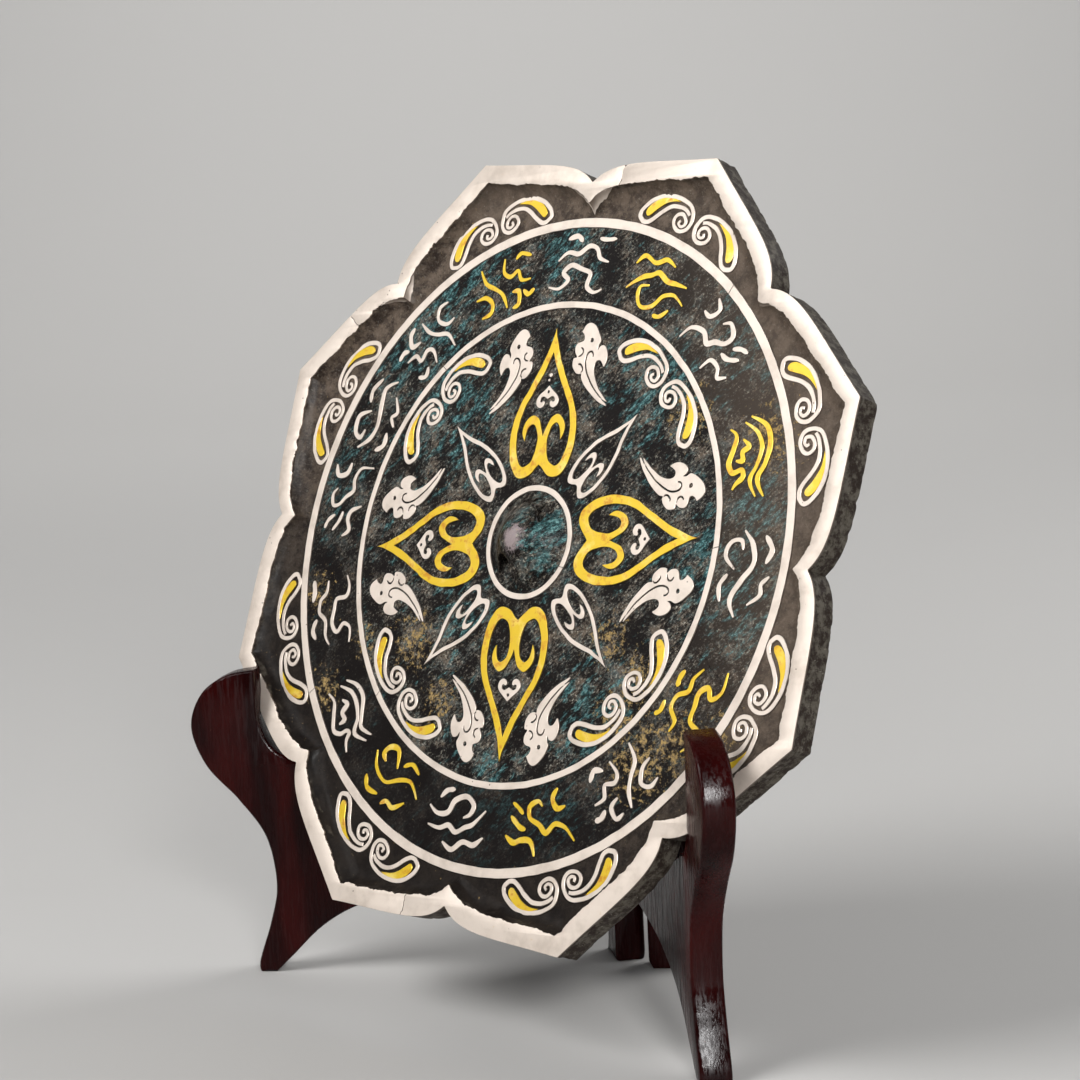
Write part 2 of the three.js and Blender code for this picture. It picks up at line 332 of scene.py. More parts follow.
class Graph:
    """Builds a finish's nodes one after another."""

    def __init__(self, name: str) -> None:
        """Starts a material with a bare shader."""
        self.material = bpy.data.materials.new(name)
        self.material.use_nodes = True
        self.tree = self.material.node_tree
        self.shader = self.tree.nodes["Principled BSDF"]

    def node(self, kind: str, **settings: object) -> bpy.types.Node:
        """Adds a node and sets its properties."""
        made = self.tree.nodes.new(kind)
        for name, value in settings.items():
            setattr(made, name, value)
        return made

    def feed(self, target: bpy.types.NodeSocket, value: object) -> None:
        """Links a socket, or sets a plain value."""
        if isinstance(value, bpy.types.NodeSocket):
            self.tree.links.new(value, target)
        else:
            target.default_value = value

    def where(self, matrix: Matrix | None = None, stretch: Sequence[float] = (1, 1, 1),
              degrees: float = 0.0) -> bpy.types.NodeSocket:
        """Gives object coordinates, turned into a piece's own plane.

        Args:
            matrix: the piece's place; None leaves the coordinates as they are.
            stretch: scale on each axis, after the turn.
            degrees: a further turn in the plane, before the stretch.

        Returns:
            The coordinates, in metres times the stretch.
        """
        place = (matrix or Matrix.Identity(4)).inverted()
        place = Matrix.Rotation(math.radians(degrees), 4, "Z") @ place
        coordinates = self.node("ShaderNodeTexCoord").outputs["Object"]
        turned = self.node("ShaderNodeMapping")
        self.feed(turned.inputs["Vector"], coordinates)
        turned.inputs["Location"].default_value = place.to_translation()
        turned.inputs["Rotation"].default_value = place.to_euler()
        if tuple(stretch) == (1, 1, 1):
            return turned.outputs["Vector"]
        stretched = self.node("ShaderNodeMapping")
        self.feed(stretched.inputs["Vector"], turned.outputs["Vector"])
        stretched.inputs["Scale"].default_value = stretch
        return stretched.outputs["Vector"]

    def grain(self, where: bpy.types.NodeSocket, size: float, detail: float = 4.0, rough: float = 0.55,
              twist: float = 0.0) -> bpy.types.NodeSocket:
        """Gives cloudy noise with features of a size in metres."""
        made = self.node("ShaderNodeTexNoise")
        self.feed(made.inputs["Vector"], where)
        made.inputs["Scale"].default_value = 1 / size
        made.inputs["Detail"].default_value = detail
        made.inputs["Roughness"].default_value = rough
        made.inputs["Distortion"].default_value = twist
        return made.outputs["Fac"]

    def pits(self, where: bpy.types.NodeSocket, size: float) -> bpy.types.NodeSocket:
        """Gives the distance to scattered points, spaced about a size in metres."""
        made = self.node("ShaderNodeTexVoronoi")
        self.feed(made.inputs["Vector"], where)
        made.inputs["Scale"].default_value = 1 / size
        return made.outputs["Distance"]

    def ease(self, value: bpy.types.NodeSocket, low: float, high: float, start: float = 0.0,
             end: float = 1.0) -> bpy.types.NodeSocket:
        """Maps a range smoothly to start..end."""
        made = self.node("ShaderNodeMapRange", interpolation_type="SMOOTHSTEP")
        self.feed(made.inputs["Value"], value)
        for name, number in (("From Min", low), ("From Max", high), ("To Min", start), ("To Max", end)):
            made.inputs[name].default_value = number
        return made.outputs["Result"]

    def maths(self, operation: str, first: object, second: object = 0.0) -> bpy.types.NodeSocket:
        """Gives the result of a sum on two values."""
        made = self.node("ShaderNodeMath", operation=operation)
        self.feed(made.inputs[0], first)
        self.feed(made.inputs[1], second)
        return made.outputs["Value"]

    def distance(self, where: bpy.types.NodeSocket, spot: Sequence[float]) -> bpy.types.NodeSocket:
        """Gives the distance to a spot, in metres."""
        made = self.node("ShaderNodeVectorMath", operation="DISTANCE")
        self.feed(made.inputs[0], where)
        made.inputs[1].default_value = spot
        return made.outputs["Value"]

    def along(self, where: bpy.types.NodeSocket, direction: Sequence[float]) -> bpy.types.NodeSocket:
        """Gives how far coordinates reach along a direction."""
        made = self.node("ShaderNodeVectorMath", operation="DOT_PRODUCT")
        self.feed(made.inputs[0], where)
        made.inputs[1].default_value = direction
        return made.outputs["Value"]

    def facing(self, direction: Sequence[float]) -> bpy.types.NodeSocket:
        """Gives how squarely the surface faces a direction: 1 faces it, 0 stands across it."""
        return self.along(self.node("ShaderNodeTexCoord").outputs["Normal"], direction)

    def patches(self, where: bpy.types.NodeSocket, spots: Sequence[Sequence[float]]) -> bpy.types.NodeSocket:
        """Gives soft round patches, each an x, a y and a reach in the mirror's units."""
        together: bpy.types.NodeSocket | None = None
        for x, y, reach in spots:
            near = self.ease(self.distance(where, (x * UNIT, y * UNIT, 0)), 0.0, reach * UNIT, 1, 0)
            together = near if together is None else self.maths("MAXIMUM", together, near)
        return together

    def mix(self, share: bpy.types.NodeSocket, first: object, second: object) -> bpy.types.NodeSocket:
        """Gives a colour between two, by share."""
        made = self.node("ShaderNodeMix", data_type="RGBA")
        self.feed(made.inputs["Factor"], share)
        for socket, value in ((made.inputs[6], first), (made.inputs[7], second)):
            self.feed(socket, (*value, 1.0) if isinstance(value, tuple) else value)
        return made.outputs[2]

    def bump(self, height: bpy.types.NodeSocket, strength: float, depth: float,
             under: bpy.types.NodeSocket | None = None) -> bpy.types.NodeSocket:
        """Gives a bumped normal; depth is in metres."""
        made = self.node("ShaderNodeBump")
        made.inputs["Strength"].default_value = strength
        made.inputs["Distance"].default_value = depth
        self.feed(made.inputs["Height"], height)
        if under is not None:
            self.feed(made.inputs["Normal"], under)
        return made.outputs["Normal"]

    def finish(self, **values: object) -> bpy.types.Material:
        """Sets the shader's sockets, with spaces in their names as underscores."""
        for name, value in values.items():
            socket = self.shader.inputs[name.replace("_", " ")]
            self.feed(socket, (*value, 1.0) if isinstance(value, tuple) and len(value) == 3 else value)
        return self.material


@dataclass(frozen=True)
class BronzePatina:
    """Near-black bronze with dense grey specks, slanting green-blue streaks and earthy crusts."""

    dark: tuple[float, float, float] = (0.006, 0.0045, 0.004)
    mottle: tuple[float, float, float] = (0.118, 0.090, 0.067)
    cool: tuple[float, float, float] = (0.068, 0.084, 0.082)
    speck: tuple[float, float, float] = (0.44, 0.41, 0.34)
    slate: tuple[float, float, float] = (0.128, 0.097, 0.073)
    shade: tuple[float, float, float] = (0.027, 0.019, 0.015)
    teal: tuple[float, float, float] = (0.018, 0.075, 0.082)
    pale_teal: tuple[float, float, float] = (0.21, 0.40, 0.39)
    earth: tuple[float, float, float] = (0.44, 0.30, 0.11)
    wall: tuple[float, float, float] = (0.115, 0.102, 0.082)
    # Pale pink of the knob's rubbed crest, which also stands in as a painted highlight.
    worn: tuple[float, float, float] = (0.38, 0.31, 0.31)
    greened: tuple[tuple[float, float, float], ...] = (
        (-0.8, 1.1, 0.62), (-1.1, 1.0, 0.5), (-0.6, 1.38, 0.4), (-1.4, 0.35, 0.45), (-0.6, 0.68, 0.6), (0.1, 0.02, 0.3),
        (0.62, 0.68, 0.45), (1.2, 0.95, 0.45), (1.02, -0.1, 0.4), (1.28, -0.3, 0.35), (-0.05, -1.2, 0.5),
        (0.35, -1.2, 0.35), (-0.35, -0.35, 0.3), (0.5, -0.75, 0.4), (0.0, 1.35, 0.4), (0.16, -0.02, 0.2), (1.3, 0.1, 0.4))
    crusts: tuple[tuple[float, float, float], ...] = (
        (-0.98, -0.45, 0.16), (-0.65, -0.45, 0.3), (-0.43, -0.72, 0.22), (-1.35, -0.22, 0.2), (-1.21, -0.69, 0.22),
        (0.81, -0.94, 0.4), (1.0, -0.88, 0.34), (1.23, -0.83, 0.2), (0.56, -0.44, 0.22), (0.76, -0.6, 0.26),
        (0.67, -0.78, 0.3), (0.85, 0.55, 0.25), (1.32, 0.42, 0.3))
    patina_reach: float = 1.47
    crack: tuple[Point, Point] = ((1.04, -0.47), (1.33, -0.72))

    def material(self) -> bpy.types.Material:
        """Builds the finish."""
        graph = Graph("bronze_patina")
        place = graph.where(PLACE.matrix)
        slanted = graph.where(PLACE.matrix, stretch=(1.0, 2.4, 1.0), degrees=-38)
        cloudy = graph.grain(place, 11 * MM, 5, 0.6)
        fine = graph.grain(slanted, 2.4 * MM, 8, 0.85)
        grit = graph.grain(place, 0.9 * MM, 5, 0.8)
        inside = graph.ease(graph.distance(place, (0, 0, 0)), self.patina_reach * UNIT, self.patina_reach * UNIT + 2 * MM,
                            1, 0)
        level = graph.maths("ADD", fine, graph.maths("MULTIPLY", graph.maths("SUBTRACT", cloudy, 0.5), 0.7))
        uneven = graph.grain(place, 6 * MM, 8, 0.8)
        tinted = graph.mix(graph.ease(uneven, 0.44, 0.58), self.mottle, self.cool)
        colour = graph.mix(graph.ease(level, 0.49, 0.62), self.dark, tinted)
        speckled = graph.maths("MULTIPLY", graph.ease(grit, 0.52, 0.66), graph.ease(level, 0.42, 0.60))
        colour = graph.mix(speckled, colour, self.speck)
        plain = graph.mix(graph.ease(uneven, 0.38, 0.62), self.shade, self.slate)
        plain = graph.mix(graph.ease(grit, 0.56, 0.74, 0, 0.6), plain, self.speck)
        colour = graph.mix(inside, plain, colour)
        colour = self._streaks(graph, place, slanted, fine, grit, inside, colour)
        # Painted shade and painted sheen outside the inner ring: darker towards the lower left, lighter slate grey
        # towards the right and the top.
        upward = graph.along(place, (0.45, 0.89, 0))
        outward = graph.ease(graph.distance(place, (0, 0, 0)), 1.06 * UNIT, 1.12 * UNIT)
        painted_shade = graph.maths("MULTIPLY", outward, graph.ease(upward, -1.35 * UNIT, 0.35 * UNIT, 0.9, 0))
        colour = graph.mix(painted_shade, colour, self.dark)
        rightward = graph.ease(graph.along(place, (0.97, 0.24, 0)), 0.6 * UNIT, 1.5 * UNIT, 0, 0.4)
        topward = graph.ease(graph.along(place, (0, 1, 0)), 1.45 * UNIT, 1.7 * UNIT, 0, 0.5)
        painted_sheen = graph.maths("MULTIPLY", graph.maths("MAXIMUM", rightward, topward), outward)
        colour = graph.mix(painted_sheen, colour, self.slate)
        # Rubbed wear and a painted highlight: a pale pink patch on the knob's crest.
        near_top = graph.distance(place, (0.01 * UNIT, 0, 0.12 * UNIT))
        strays = graph.maths("MULTIPLY", graph.maths("SUBTRACT", graph.maths("ADD", grit, uneven), 1.0), 11 * MM)
        worn = graph.ease(graph.maths("ADD", near_top, strays), 0.025 * UNIT, 0.065 * UNIT, 0.75, 0)
        colour = graph.mix(worn, colour, self.worn)
        crust = graph.patches(place, self.crusts)
        crumbs = graph.grain(place, 2.4 * MM, 7, 0.8)
        crust = graph.ease(graph.maths("ADD", crumbs, graph.maths("MULTIPLY", crust, 0.15)), 0.64, 0.69)
        colour = graph.mix(crust, colour, graph.mix(graph.ease(grit, 0.4, 0.65), self.earth, self.mottle))
        colour = graph.mix(self._crack(graph, place), colour, self.dark)
        colour = self._wall(graph, place, grit, colour)
        behind = graph.ease(graph.facing(PLACE.turn.to_3x3().col[2]), -0.8, -0.5, 1, 0)
        colour = graph.mix(behind, colour, graph.mix(graph.ease(uneven, 0.42, 0.62), self.shade, self.cool))
        rough = graph.maths("ADD", graph.ease(level, 0.35, 0.7, 0.40, 0.62), graph.maths("MULTIPLY", crust, 0.25))
        domed = graph.ease(graph.distance(place, (0, 0, 0)), 0.2 * UNIT, 0.24 * UNIT, 0.14, 0)
        rough = graph.maths("SUBTRACT", rough, domed)
        lumps = graph.bump(cloudy, 0.4, 0.35 * MM)
        normal = graph.bump(graph.maths("ADD", fine, graph.maths("MULTIPLY", crust, 0.6)), 0.5, 0.16 * MM, lumps)
        return graph.finish(Base_Color=colour, Roughness=rough, Normal=normal, Specular_IOR_Level=0.07)

    def _streaks(self, graph: Graph, place: bpy.types.NodeSocket, slanted: bpy.types.NodeSocket,
                 fine: bpy.types.NodeSocket, grit: bpy.types.NodeSocket, inside: bpy.types.NodeSocket,
                 colour: bpy.types.NodeSocket) -> bpy.types.NodeSocket:
        """Lays the green-blue streaks over a colour."""
        patches = graph.patches(place, self.greened)
        streaks = graph.grain(slanted, 8 * MM, 8, 0.72, 0.4)
        level = graph.maths("ADD", streaks, graph.maths("MULTIPLY", patches, 0.11))
        teal = graph.maths("MULTIPLY", graph.ease(level, 0.565, 0.67), inside)
        broken = graph.maths("MULTIPLY", teal, graph.ease(fine, 0.40, 0.56))
        colour = graph.mix(broken, colour, self.teal)
        pale = graph.maths("MULTIPLY", graph.maths("MULTIPLY", teal, graph.ease(fine, 0.47, 0.60)),
                           graph.ease(grit, 0.42, 0.57))
        return graph.mix(pale, colour, self.pale_teal)

    def _crack(self, graph: Graph, place: bpy.types.NodeSocket) -> bpy.types.NodeSocket:
        """Gives the hairline crack across the band."""
        start, end = (Vector((*spot, 0)) * UNIT for spot in self.crack)
        along = (end - start).normalized()
        side = Vector((-along.y, along.x, 0))
        strays = graph.maths("MULTIPLY", graph.maths("SUBTRACT", graph.grain(place, 4 * MM, 5, 0.7), 0.5), 5 * MM)
        off = graph.maths("ADD", graph.maths("SUBTRACT", graph.along(place, side), start.dot(side)), strays)
        line = graph.ease(graph.maths("ABSOLUTE", off), 0.05 * MM, 0.16 * MM, 1, 0)
        near = graph.distance(place, (start + end) / 2)
        return graph.maths("MULTIPLY", line, graph.ease(near, 0.48 * (end - start).length,
                                                        0.55 * (end - start).length, 1, 0))

    def _wall(self, graph: Graph, place: bpy.types.NodeSocket, grit: bpy.types.NodeSocket,
              colour: bpy.types.NodeSocket) -> bpy.types.NodeSocket:
        """Greys the crumbly outer wall."""
        outer = graph.ease(graph.distance(place, (0, 0, 0)), 1.60 * UNIT, 1.62 * UNIT)
        standing = graph.ease(graph.facing(PLACE.turn.to_3x3().col[2]), 0.25, 0.6, 1, 0)
        patchy = graph.grain(place, 3.2 * MM, 6, 0.75)
        wall = graph.mix(graph.ease(patchy, 0.42, 0.62), self.shade, self.wall)
        wall = graph.mix(graph.ease(grit, 0.6, 0.74), wall, self.speck)
        return graph.mix(graph.maths("MULTIPLY", outer, standing), colour, wall)


def edge_shade(graph: Graph) -> bpy.types.NodeSocket:
    """Gives where an inlay's edge turns down into the bronze: the mask for the painted shade along inlay edges."""
    return graph.ease(graph.facing(PLACE.turn.to_3x3().col[2]), 0.35, 0.85, 0.9, 0)


@dataclass(frozen=True)
class WornSilver:
    """Cream-white silver sheet with a few dark pits, brownish stains and fine rubbing."""

    bright: tuple[float, float, float] = (0.68, 0.59, 0.51)
    dull: tuple[float, float, float] = (0.53, 0.45, 0.38)
    warm: tuple[float, float, float] = (0.62, 0.49, 0.33)
    # Dark brown of pits and stains, also used as the painted shade along the inlay's edges.
    stain_and_edge_shade: tuple[float, float, float] = (0.10, 0.07, 0.05)

    def material(self) -> bpy.types.Material:
        """Builds the finish."""
        graph = Graph("worn_silver")
        place = graph.where(PLACE.matrix)
        rubbed = graph.where(PLACE.matrix, stretch=(1, 6, 1), degrees=25)
        cloudy = graph.grain(place, 9 * MM, 5, 0.6)
        fine = graph.grain(rubbed, 1.2 * MM, 4, 0.6)
        colour = graph.mix(graph.ease(cloudy, 0.42, 0.75), self.bright, self.dull)
        colour = graph.mix(graph.ease(graph.grain(place, 4 * MM, 6, 0.75), 0.62, 0.74, 0, 0.8), colour, self.warm)
        pitted = graph.maths("MULTIPLY", graph.ease(graph.pits(place, 2.6 * MM), 0.06, 0.12, 1, 0),
                             graph.ease(graph.grain(place, 12 * MM, 3), 0.55, 0.62))
        stained = graph.ease(graph.grain(place, 2.0 * MM, 7, 0.8), 0.70, 0.76)
        # Pits and stains, together with the painted shade along the inlay's edges.
        stains_and_edge_shade = graph.maths("MAXIMUM", graph.maths("MAXIMUM", pitted, stained), edge_shade(graph))
        colour = graph.mix(stains_and_edge_shade, colour, self.stain_and_edge_shade)
        rough = graph.ease(fine, 0.3, 0.7, 0.40, 0.56)
        dents = graph.bump(cloudy, 0.35, 0.3 * MM)
        normal = graph.bump(graph.maths("SUBTRACT", fine, graph.maths("MAXIMUM", pitted, stained)), 0.3, 0.08 * MM, dents)
        return graph.finish(Base_Color=colour, Roughness=rough, Normal=normal, Metallic=0.3)


@dataclass(frozen=True)
class WornGold:
    """Bright yellow gold foil, orange where it is thin and pale where it is rubbed."""

    yellow: tuple[float, float, float] = (0.70, 0.47, 0.018)
    orange: tuple[float, float, float] = (0.56, 0.25, 0.008)
    pale: tuple[float, float, float] = (0.84, 0.68, 0.17)
    # Dark brown of the foil's spots, also used as the painted shade along the inlay's edges.
    rim: tuple[float, float, float] = (0.055, 0.028, 0.008)

    def material(self) -> bpy.types.Material:
        """Builds the finish."""
        graph = Graph("worn_gold")
        place = graph.where(PLACE.matrix)
        rubbed = graph.where(PLACE.matrix, stretch=(1, 3, 1), degrees=30)
        cloudy = graph.grain(place, 7 * MM, 5, 0.6)
        fine = graph.grain(rubbed, 0.9 * MM, 4, 0.6)
        colour = graph.mix(graph.ease(cloudy, 0.50, 0.68), self.yellow, self.pale)
        thin = graph.ease(graph.grain(place, 3.5 * MM, 6, 0.7), 0.50, 0.66)
        colour = graph.mix(thin, colour, self.orange)
        spotted = graph.ease(graph.grain(place, 1.3 * MM, 6, 0.8), 0.70, 0.77)
        # Dark spots, together with the painted shade along the inlay's edges.
        colour = graph.mix(graph.maths("MAXIMUM", spotted, edge_shade(graph)), colour, self.rim)
        rough = graph.ease(fine, 0.3, 0.7, 0.34, 0.50)
        normal = graph.bump(fine, 0.3, 0.06 * MM, graph.bump(cloudy, 0.35, 0.25 * MM))
        return graph.finish(Base_Color=colour, Roughness=rough, Normal=normal, Metallic=0.3)


@dataclass(frozen=True)
class RedLacquer:
    """Thick dark red lacquer over wood: brushed upwards, glossy, with rubbed pale flecks on its edges."""

    deep: tuple[float, float, float] = (0.008, 0.0008, 0.0008)
    red: tuple[float, float, float] = (0.030, 0.0022, 0.0020)
    rubbed: tuple[float, float, float] = (0.20, 0.085, 0.060)

    def material(self) -> bpy.types.Material:
        """Builds the finish."""
        graph = Graph("red_lacquer")
        place = graph.where()
        upright = graph.where(stretch=(1, 1, 0.25))
        brushed = graph.where(stretch=(1, 1, 0.09))
        cloudy = graph.grain(upright, 14 * MM, 4, 0.55)
        skin = graph.grain(place, 5 * MM, 3, 0.5)
        strokes = graph.grain(brushed, 1.0 * MM, 4, 0.65)
        fleck = graph.grain(graph.where(stretch=(1, 1, 0.5)), 0.9 * MM, 5, 0.75)
        colour = graph.mix(graph.ease(cloudy, 0.35, 0.7), self.deep, self.red)
        colour = graph.mix(graph.ease(fleck, 0.68, 0.76), colour, self.rubbed)
        rough = graph.ease(strokes, 0.40, 0.62, 0.12, 0.40)
        normal = graph.bump(strokes, 0.55, 0.16 * MM, graph.bump(skin, 0.30, 0.30 * MM))
        return graph.finish(Base_Color=colour, Roughness=rough, Normal=normal, Specular_IOR_Level=0.10)


@dataclass
class Workshop:
    """Dresses finished pieces and hands them to the frame."""

    finishes: dict[Metal, bpy.types.Material] = field(default_factory=dict)

    def prepare(self) -> None:
        """Builds the four finishes."""
        self.finishes = {
            Metal.BRONZE: BronzePatina().material(),
            Metal.SILVER: WornSilver().material(),
            Metal.GOLD: WornGold().material(),
            Metal.LACQUER: RedLacquer().material(),
        }

    def hand_over(self, piece: bpy.types.Object, metal: Metal, *nodes: str) -> None:
        """Dresses a piece, fixes it to the body and has it stand for CAD nodes.

        Args:
            piece: the finished piece, in the whole's frame.
            metal: its finish.
            nodes: the CAD nodes it stands for, if any.
        """
        piece.data.materials.clear()
        piece.data.materials.append(self.finishes[metal])
        for face in piece.data.polygons:
            face.material_index = 0
        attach(piece, "root")
        if nodes:
            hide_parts(*nodes)
        LOG.info("%s: %d faces", piece.name, len(piece.data.polygons))

    def set_in_mirror(self, pattern: bpy.types.Object, name: str, metal: Metal, degrees: float = 0.0,
                      nodes: Sequence[str] = (), ripple: float = 0.12 * MM) -> None:
        """Copies an inlay pattern to its place on the mirror.

        Args:
            pattern: the piece drawn upright at the mirror's centre.
            name: the copy's name.
            metal: its finish.
            degrees: turn about the mirror's centre.
            nodes: the CAD nodes it stands for.
            ripple: unevenness of its edges in metres.
        """
        piece = bpy.data.objects.new(name, pattern.data.copy())
        bpy.context.scene.collection.objects.link(piece)
        piece.data.name = name
        piece.data.transform(Matrix.Rotation(math.radians(degrees), 4, "Z"))
        wear(piece, ripple, 3 * MM)
        piece.data.transform(PLACE.matrix)
        smooth(piece, 18)
        self.hand_over(piece, metal, *nodes)


# ---------------------------------------------------------------- the disc


@dataclass
class PetalOutline:
    """The mirror's eight-petalled edge, in metres."""

    notch: float = 1.64 * UNIT
    bulge: float = 0.075 * UNIT
    rise: float = 0.079 * UNIT
    point: float = 0.085 * UNIT
    bulge_rate: float = 7.5
    petals: int = 8
    turn: float = -5.5

    def radius(self, angle: float) -> float:
        """Gives the outer radius at an angle in radians."""
        whole = math.tau / self.petals
        within = ((angle - math.radians(self.turn)) % whole) / whole
        share = 1 - abs(2 * within - 1)
        swelling = self.bulge * (1 - math.exp(-self.bulge_rate * share))
        return self.notch + swelling + self.rise * share + self.point * share**3

    def angles(self, count: int) -> list[float]:
        """Gives evenly spaced angles that meet every notch and tip."""
        start = math.radians(self.turn)
        return [start + math.tau * index / count for index in range(count)]


@dataclass
class BronzeDisc:
    """The cast disc: flat reflecting back, rough wall, raised rim with a hollow slope, and the field."""

    outline: PetalOutline
    steps: int = 1024
    depth: float = 4.2 * MM
    rim_height: float = 4.3 * MM
    rim_width: float = 0.092 * UNIT
    narrowing: float = 0.018 * UNIT
    slope: float = 0.085 * UNIT
    least_slope: float = 0.032 * UNIT
    ring_edge: float = 1.497 * UNIT
    sheath: float = 0.6 * MM
    field_rings: int = 34

    @property
    def seat(self) -> float:
        """The height that the silver sheet lies on."""
        return self.rim_height - self.sheath - 0.1 * MM

    def build(self, shop: Workshop) -> None:
        """Makes the disc."""
        deselect()
        bpy.ops.mesh.primitive_circle_add(vertices=self.steps, radius=0.1)
        disc = bpy.context.object
        disc.name = disc.data.name = "bronze_disc"
        turn = math.radians(self.outline.turn)
        for vertex in disc.data.vertices:
            angle = math.tau * vertex.index / self.steps + turn
            radius = self.outline.radius(angle) - 1.2 * MM
            vertex.co = (radius * math.cos(angle), radius * math.sin(angle), -self.depth)
        take(disc)
        bpy.ops.object.mode_set(mode="EDIT")
        bpy.ops.mesh.select_mode(type="VERT")
        bpy.ops.mesh.select_all(action="SELECT")
        wall = [(-self.depth, 0.35), (-self.depth + 0.5 * MM, 0.12), (-2.9 * MM, 0.10), (-1.8 * MM, 0.22),
                (-0.6 * MM, 0.12), (0.6 * MM, 0.20), (1.8 * MM, 0.10), (2.9 * MM, 0.16), (self.seat, 0.05)]
        for height, inset in wall:
            self._ring(lambda a, h=height, i=inset: (self.outline.radius(a) - i * MM - self._crumble(a, h), h))
        self._ring(lambda a: (self.outline.radius(a) - self.rim(a) * 0.5, self.seat))
        for share in (0.0, 0.05, 0.12, 0.2, 0.3, 0.42, 0.55, 0.7, 0.85, 1.0):
            self._ring(lambda a, s=share: self._slope_point(a, s))
        for ring in range(1, self.field_rings + 1):
            self._ring(lambda a, s=ring / (self.field_rings + 1): self._field_point(a, s))
        bpy.ops.mesh.edge_face_add()
        bpy.ops.object.mode_set(mode="OBJECT")
        self._close_back(disc)
        tidy_mesh(disc)
        disc.data.transform(PLACE.matrix)
        smooth(disc, 40)
        shop.hand_over(disc, Metal.BRONZE, "bronze_mirror")

    def rim(self, angle: float) -> float:
        """Gives the rim's width: a little less on the right."""
        return self.rim_width - self.narrowing * max(0.0, math.cos(angle - 0.1)) ** 2

    def cove(self, angle: float) -> float:
        """Gives the slope's width: narrow where a notch comes close to the outer ring."""
        return min(self.slope, max(self.least_slope, self.outline.radius(angle) - self.rim(angle) - self.ring_edge))

    def cove_height(self, angle: float, share: float) -> float:
        """Gives the slope's height at a share of its width: straight where it is narrow, hollow where it is wide."""
        hollow = (self.cove(angle) - self.least_slope) / (self.slope - self.least_slope)
        straight = 1 - 0.88 * min(1.0, hollow * 1.6)
        return self.seat * (straight * (1 - share) + (1 - straight) * (1 - share) ** 3)

    def _slope_point(self, angle: float, share: float) -> Point:
        """Gives a radius and a height on the slope, with crusts towards the upper right."""
        reach = self.outline.radius(angle) - self.rim(angle) - self.cove(angle) * share - self._bite(angle, share)
        spot = Vector((math.cos(angle), math.sin(angle), share * 0.05)) * 55
        crust = noise.fractal(spot, 0.7, 2.1, 5) * (0.08 + 0.3 * max(0.0, math.cos(angle - 0.7))) * MM
        fade = min(1.0, share * 8) * min(1.0, (1 - share) * 4)
        return reach, self.cove_height(angle, share) + crust * fade

    def _field_point(self, angle: float, share: float) -> Point:
        """Gives a radius and a height on the slightly uneven field."""
        edge = self.rim(angle) + self.cove(angle) + self._bite(angle, 1.0)
        reach = (self.outline.radius(angle) - edge) * (1 - share)
        spot = Vector((reach * math.cos(angle), reach * math.sin(angle), 0.018))
        return reach, 0.05 * MM * noise.fractal(spot / (6 * MM), 0.7, 2.1, 4)

    def _close_back(self, disc: bpy.types.Object) -> None:
        """Closes the flat back with one face."""
        take(disc)
        bpy.ops.object.mode_set(mode="EDIT")
        bpy.ops.mesh.select_all(action="DESELECT")
        bpy.ops.mesh.select_non_manifold(extend=False)
        bpy.ops.mesh.edge_face_add()
        bpy.ops.object.mode_set(mode="OBJECT")

    def _ring(self, place: Callable[[float], Point]) -> None:
        """Extrudes the edge ring and moves each of its points to a radius and a height."""
        bpy.ops.mesh.extrude_region_move()
        mesh = bmesh.from_edit_mesh(bpy.context.object.data)
        for vertex in mesh.verts:
            if vertex.select:
                angle = math.atan2(vertex.co.y, vertex.co.x)
                reach, height = place(angle)
                vertex.co = (reach * math.cos(angle), reach * math.sin(angle), height)
        bmesh.update_edit_mesh(bpy.context.object.data)

    def _crumble(self, angle: float, height: float) -> float:
        """Gives how far the rough wall is eaten in, in metres."""
        spot = Vector((math.cos(angle), math.sin(angle), height / (60 * MM))) * 30
        return max(0.0, noise.fractal(spot, 0.6, 2.2, 5)) * 0.55 * MM

    def _bite(self, angle: float, share: float) -> float:
        """Gives how far the rim's inner edge strays, in metres."""
        spot = Vector((math.cos(angle), math.sin(angle), share * 0.2)) * 12
        return noise.fractal(spot, 0.7, 2.1, 5) * 0.5 * MM


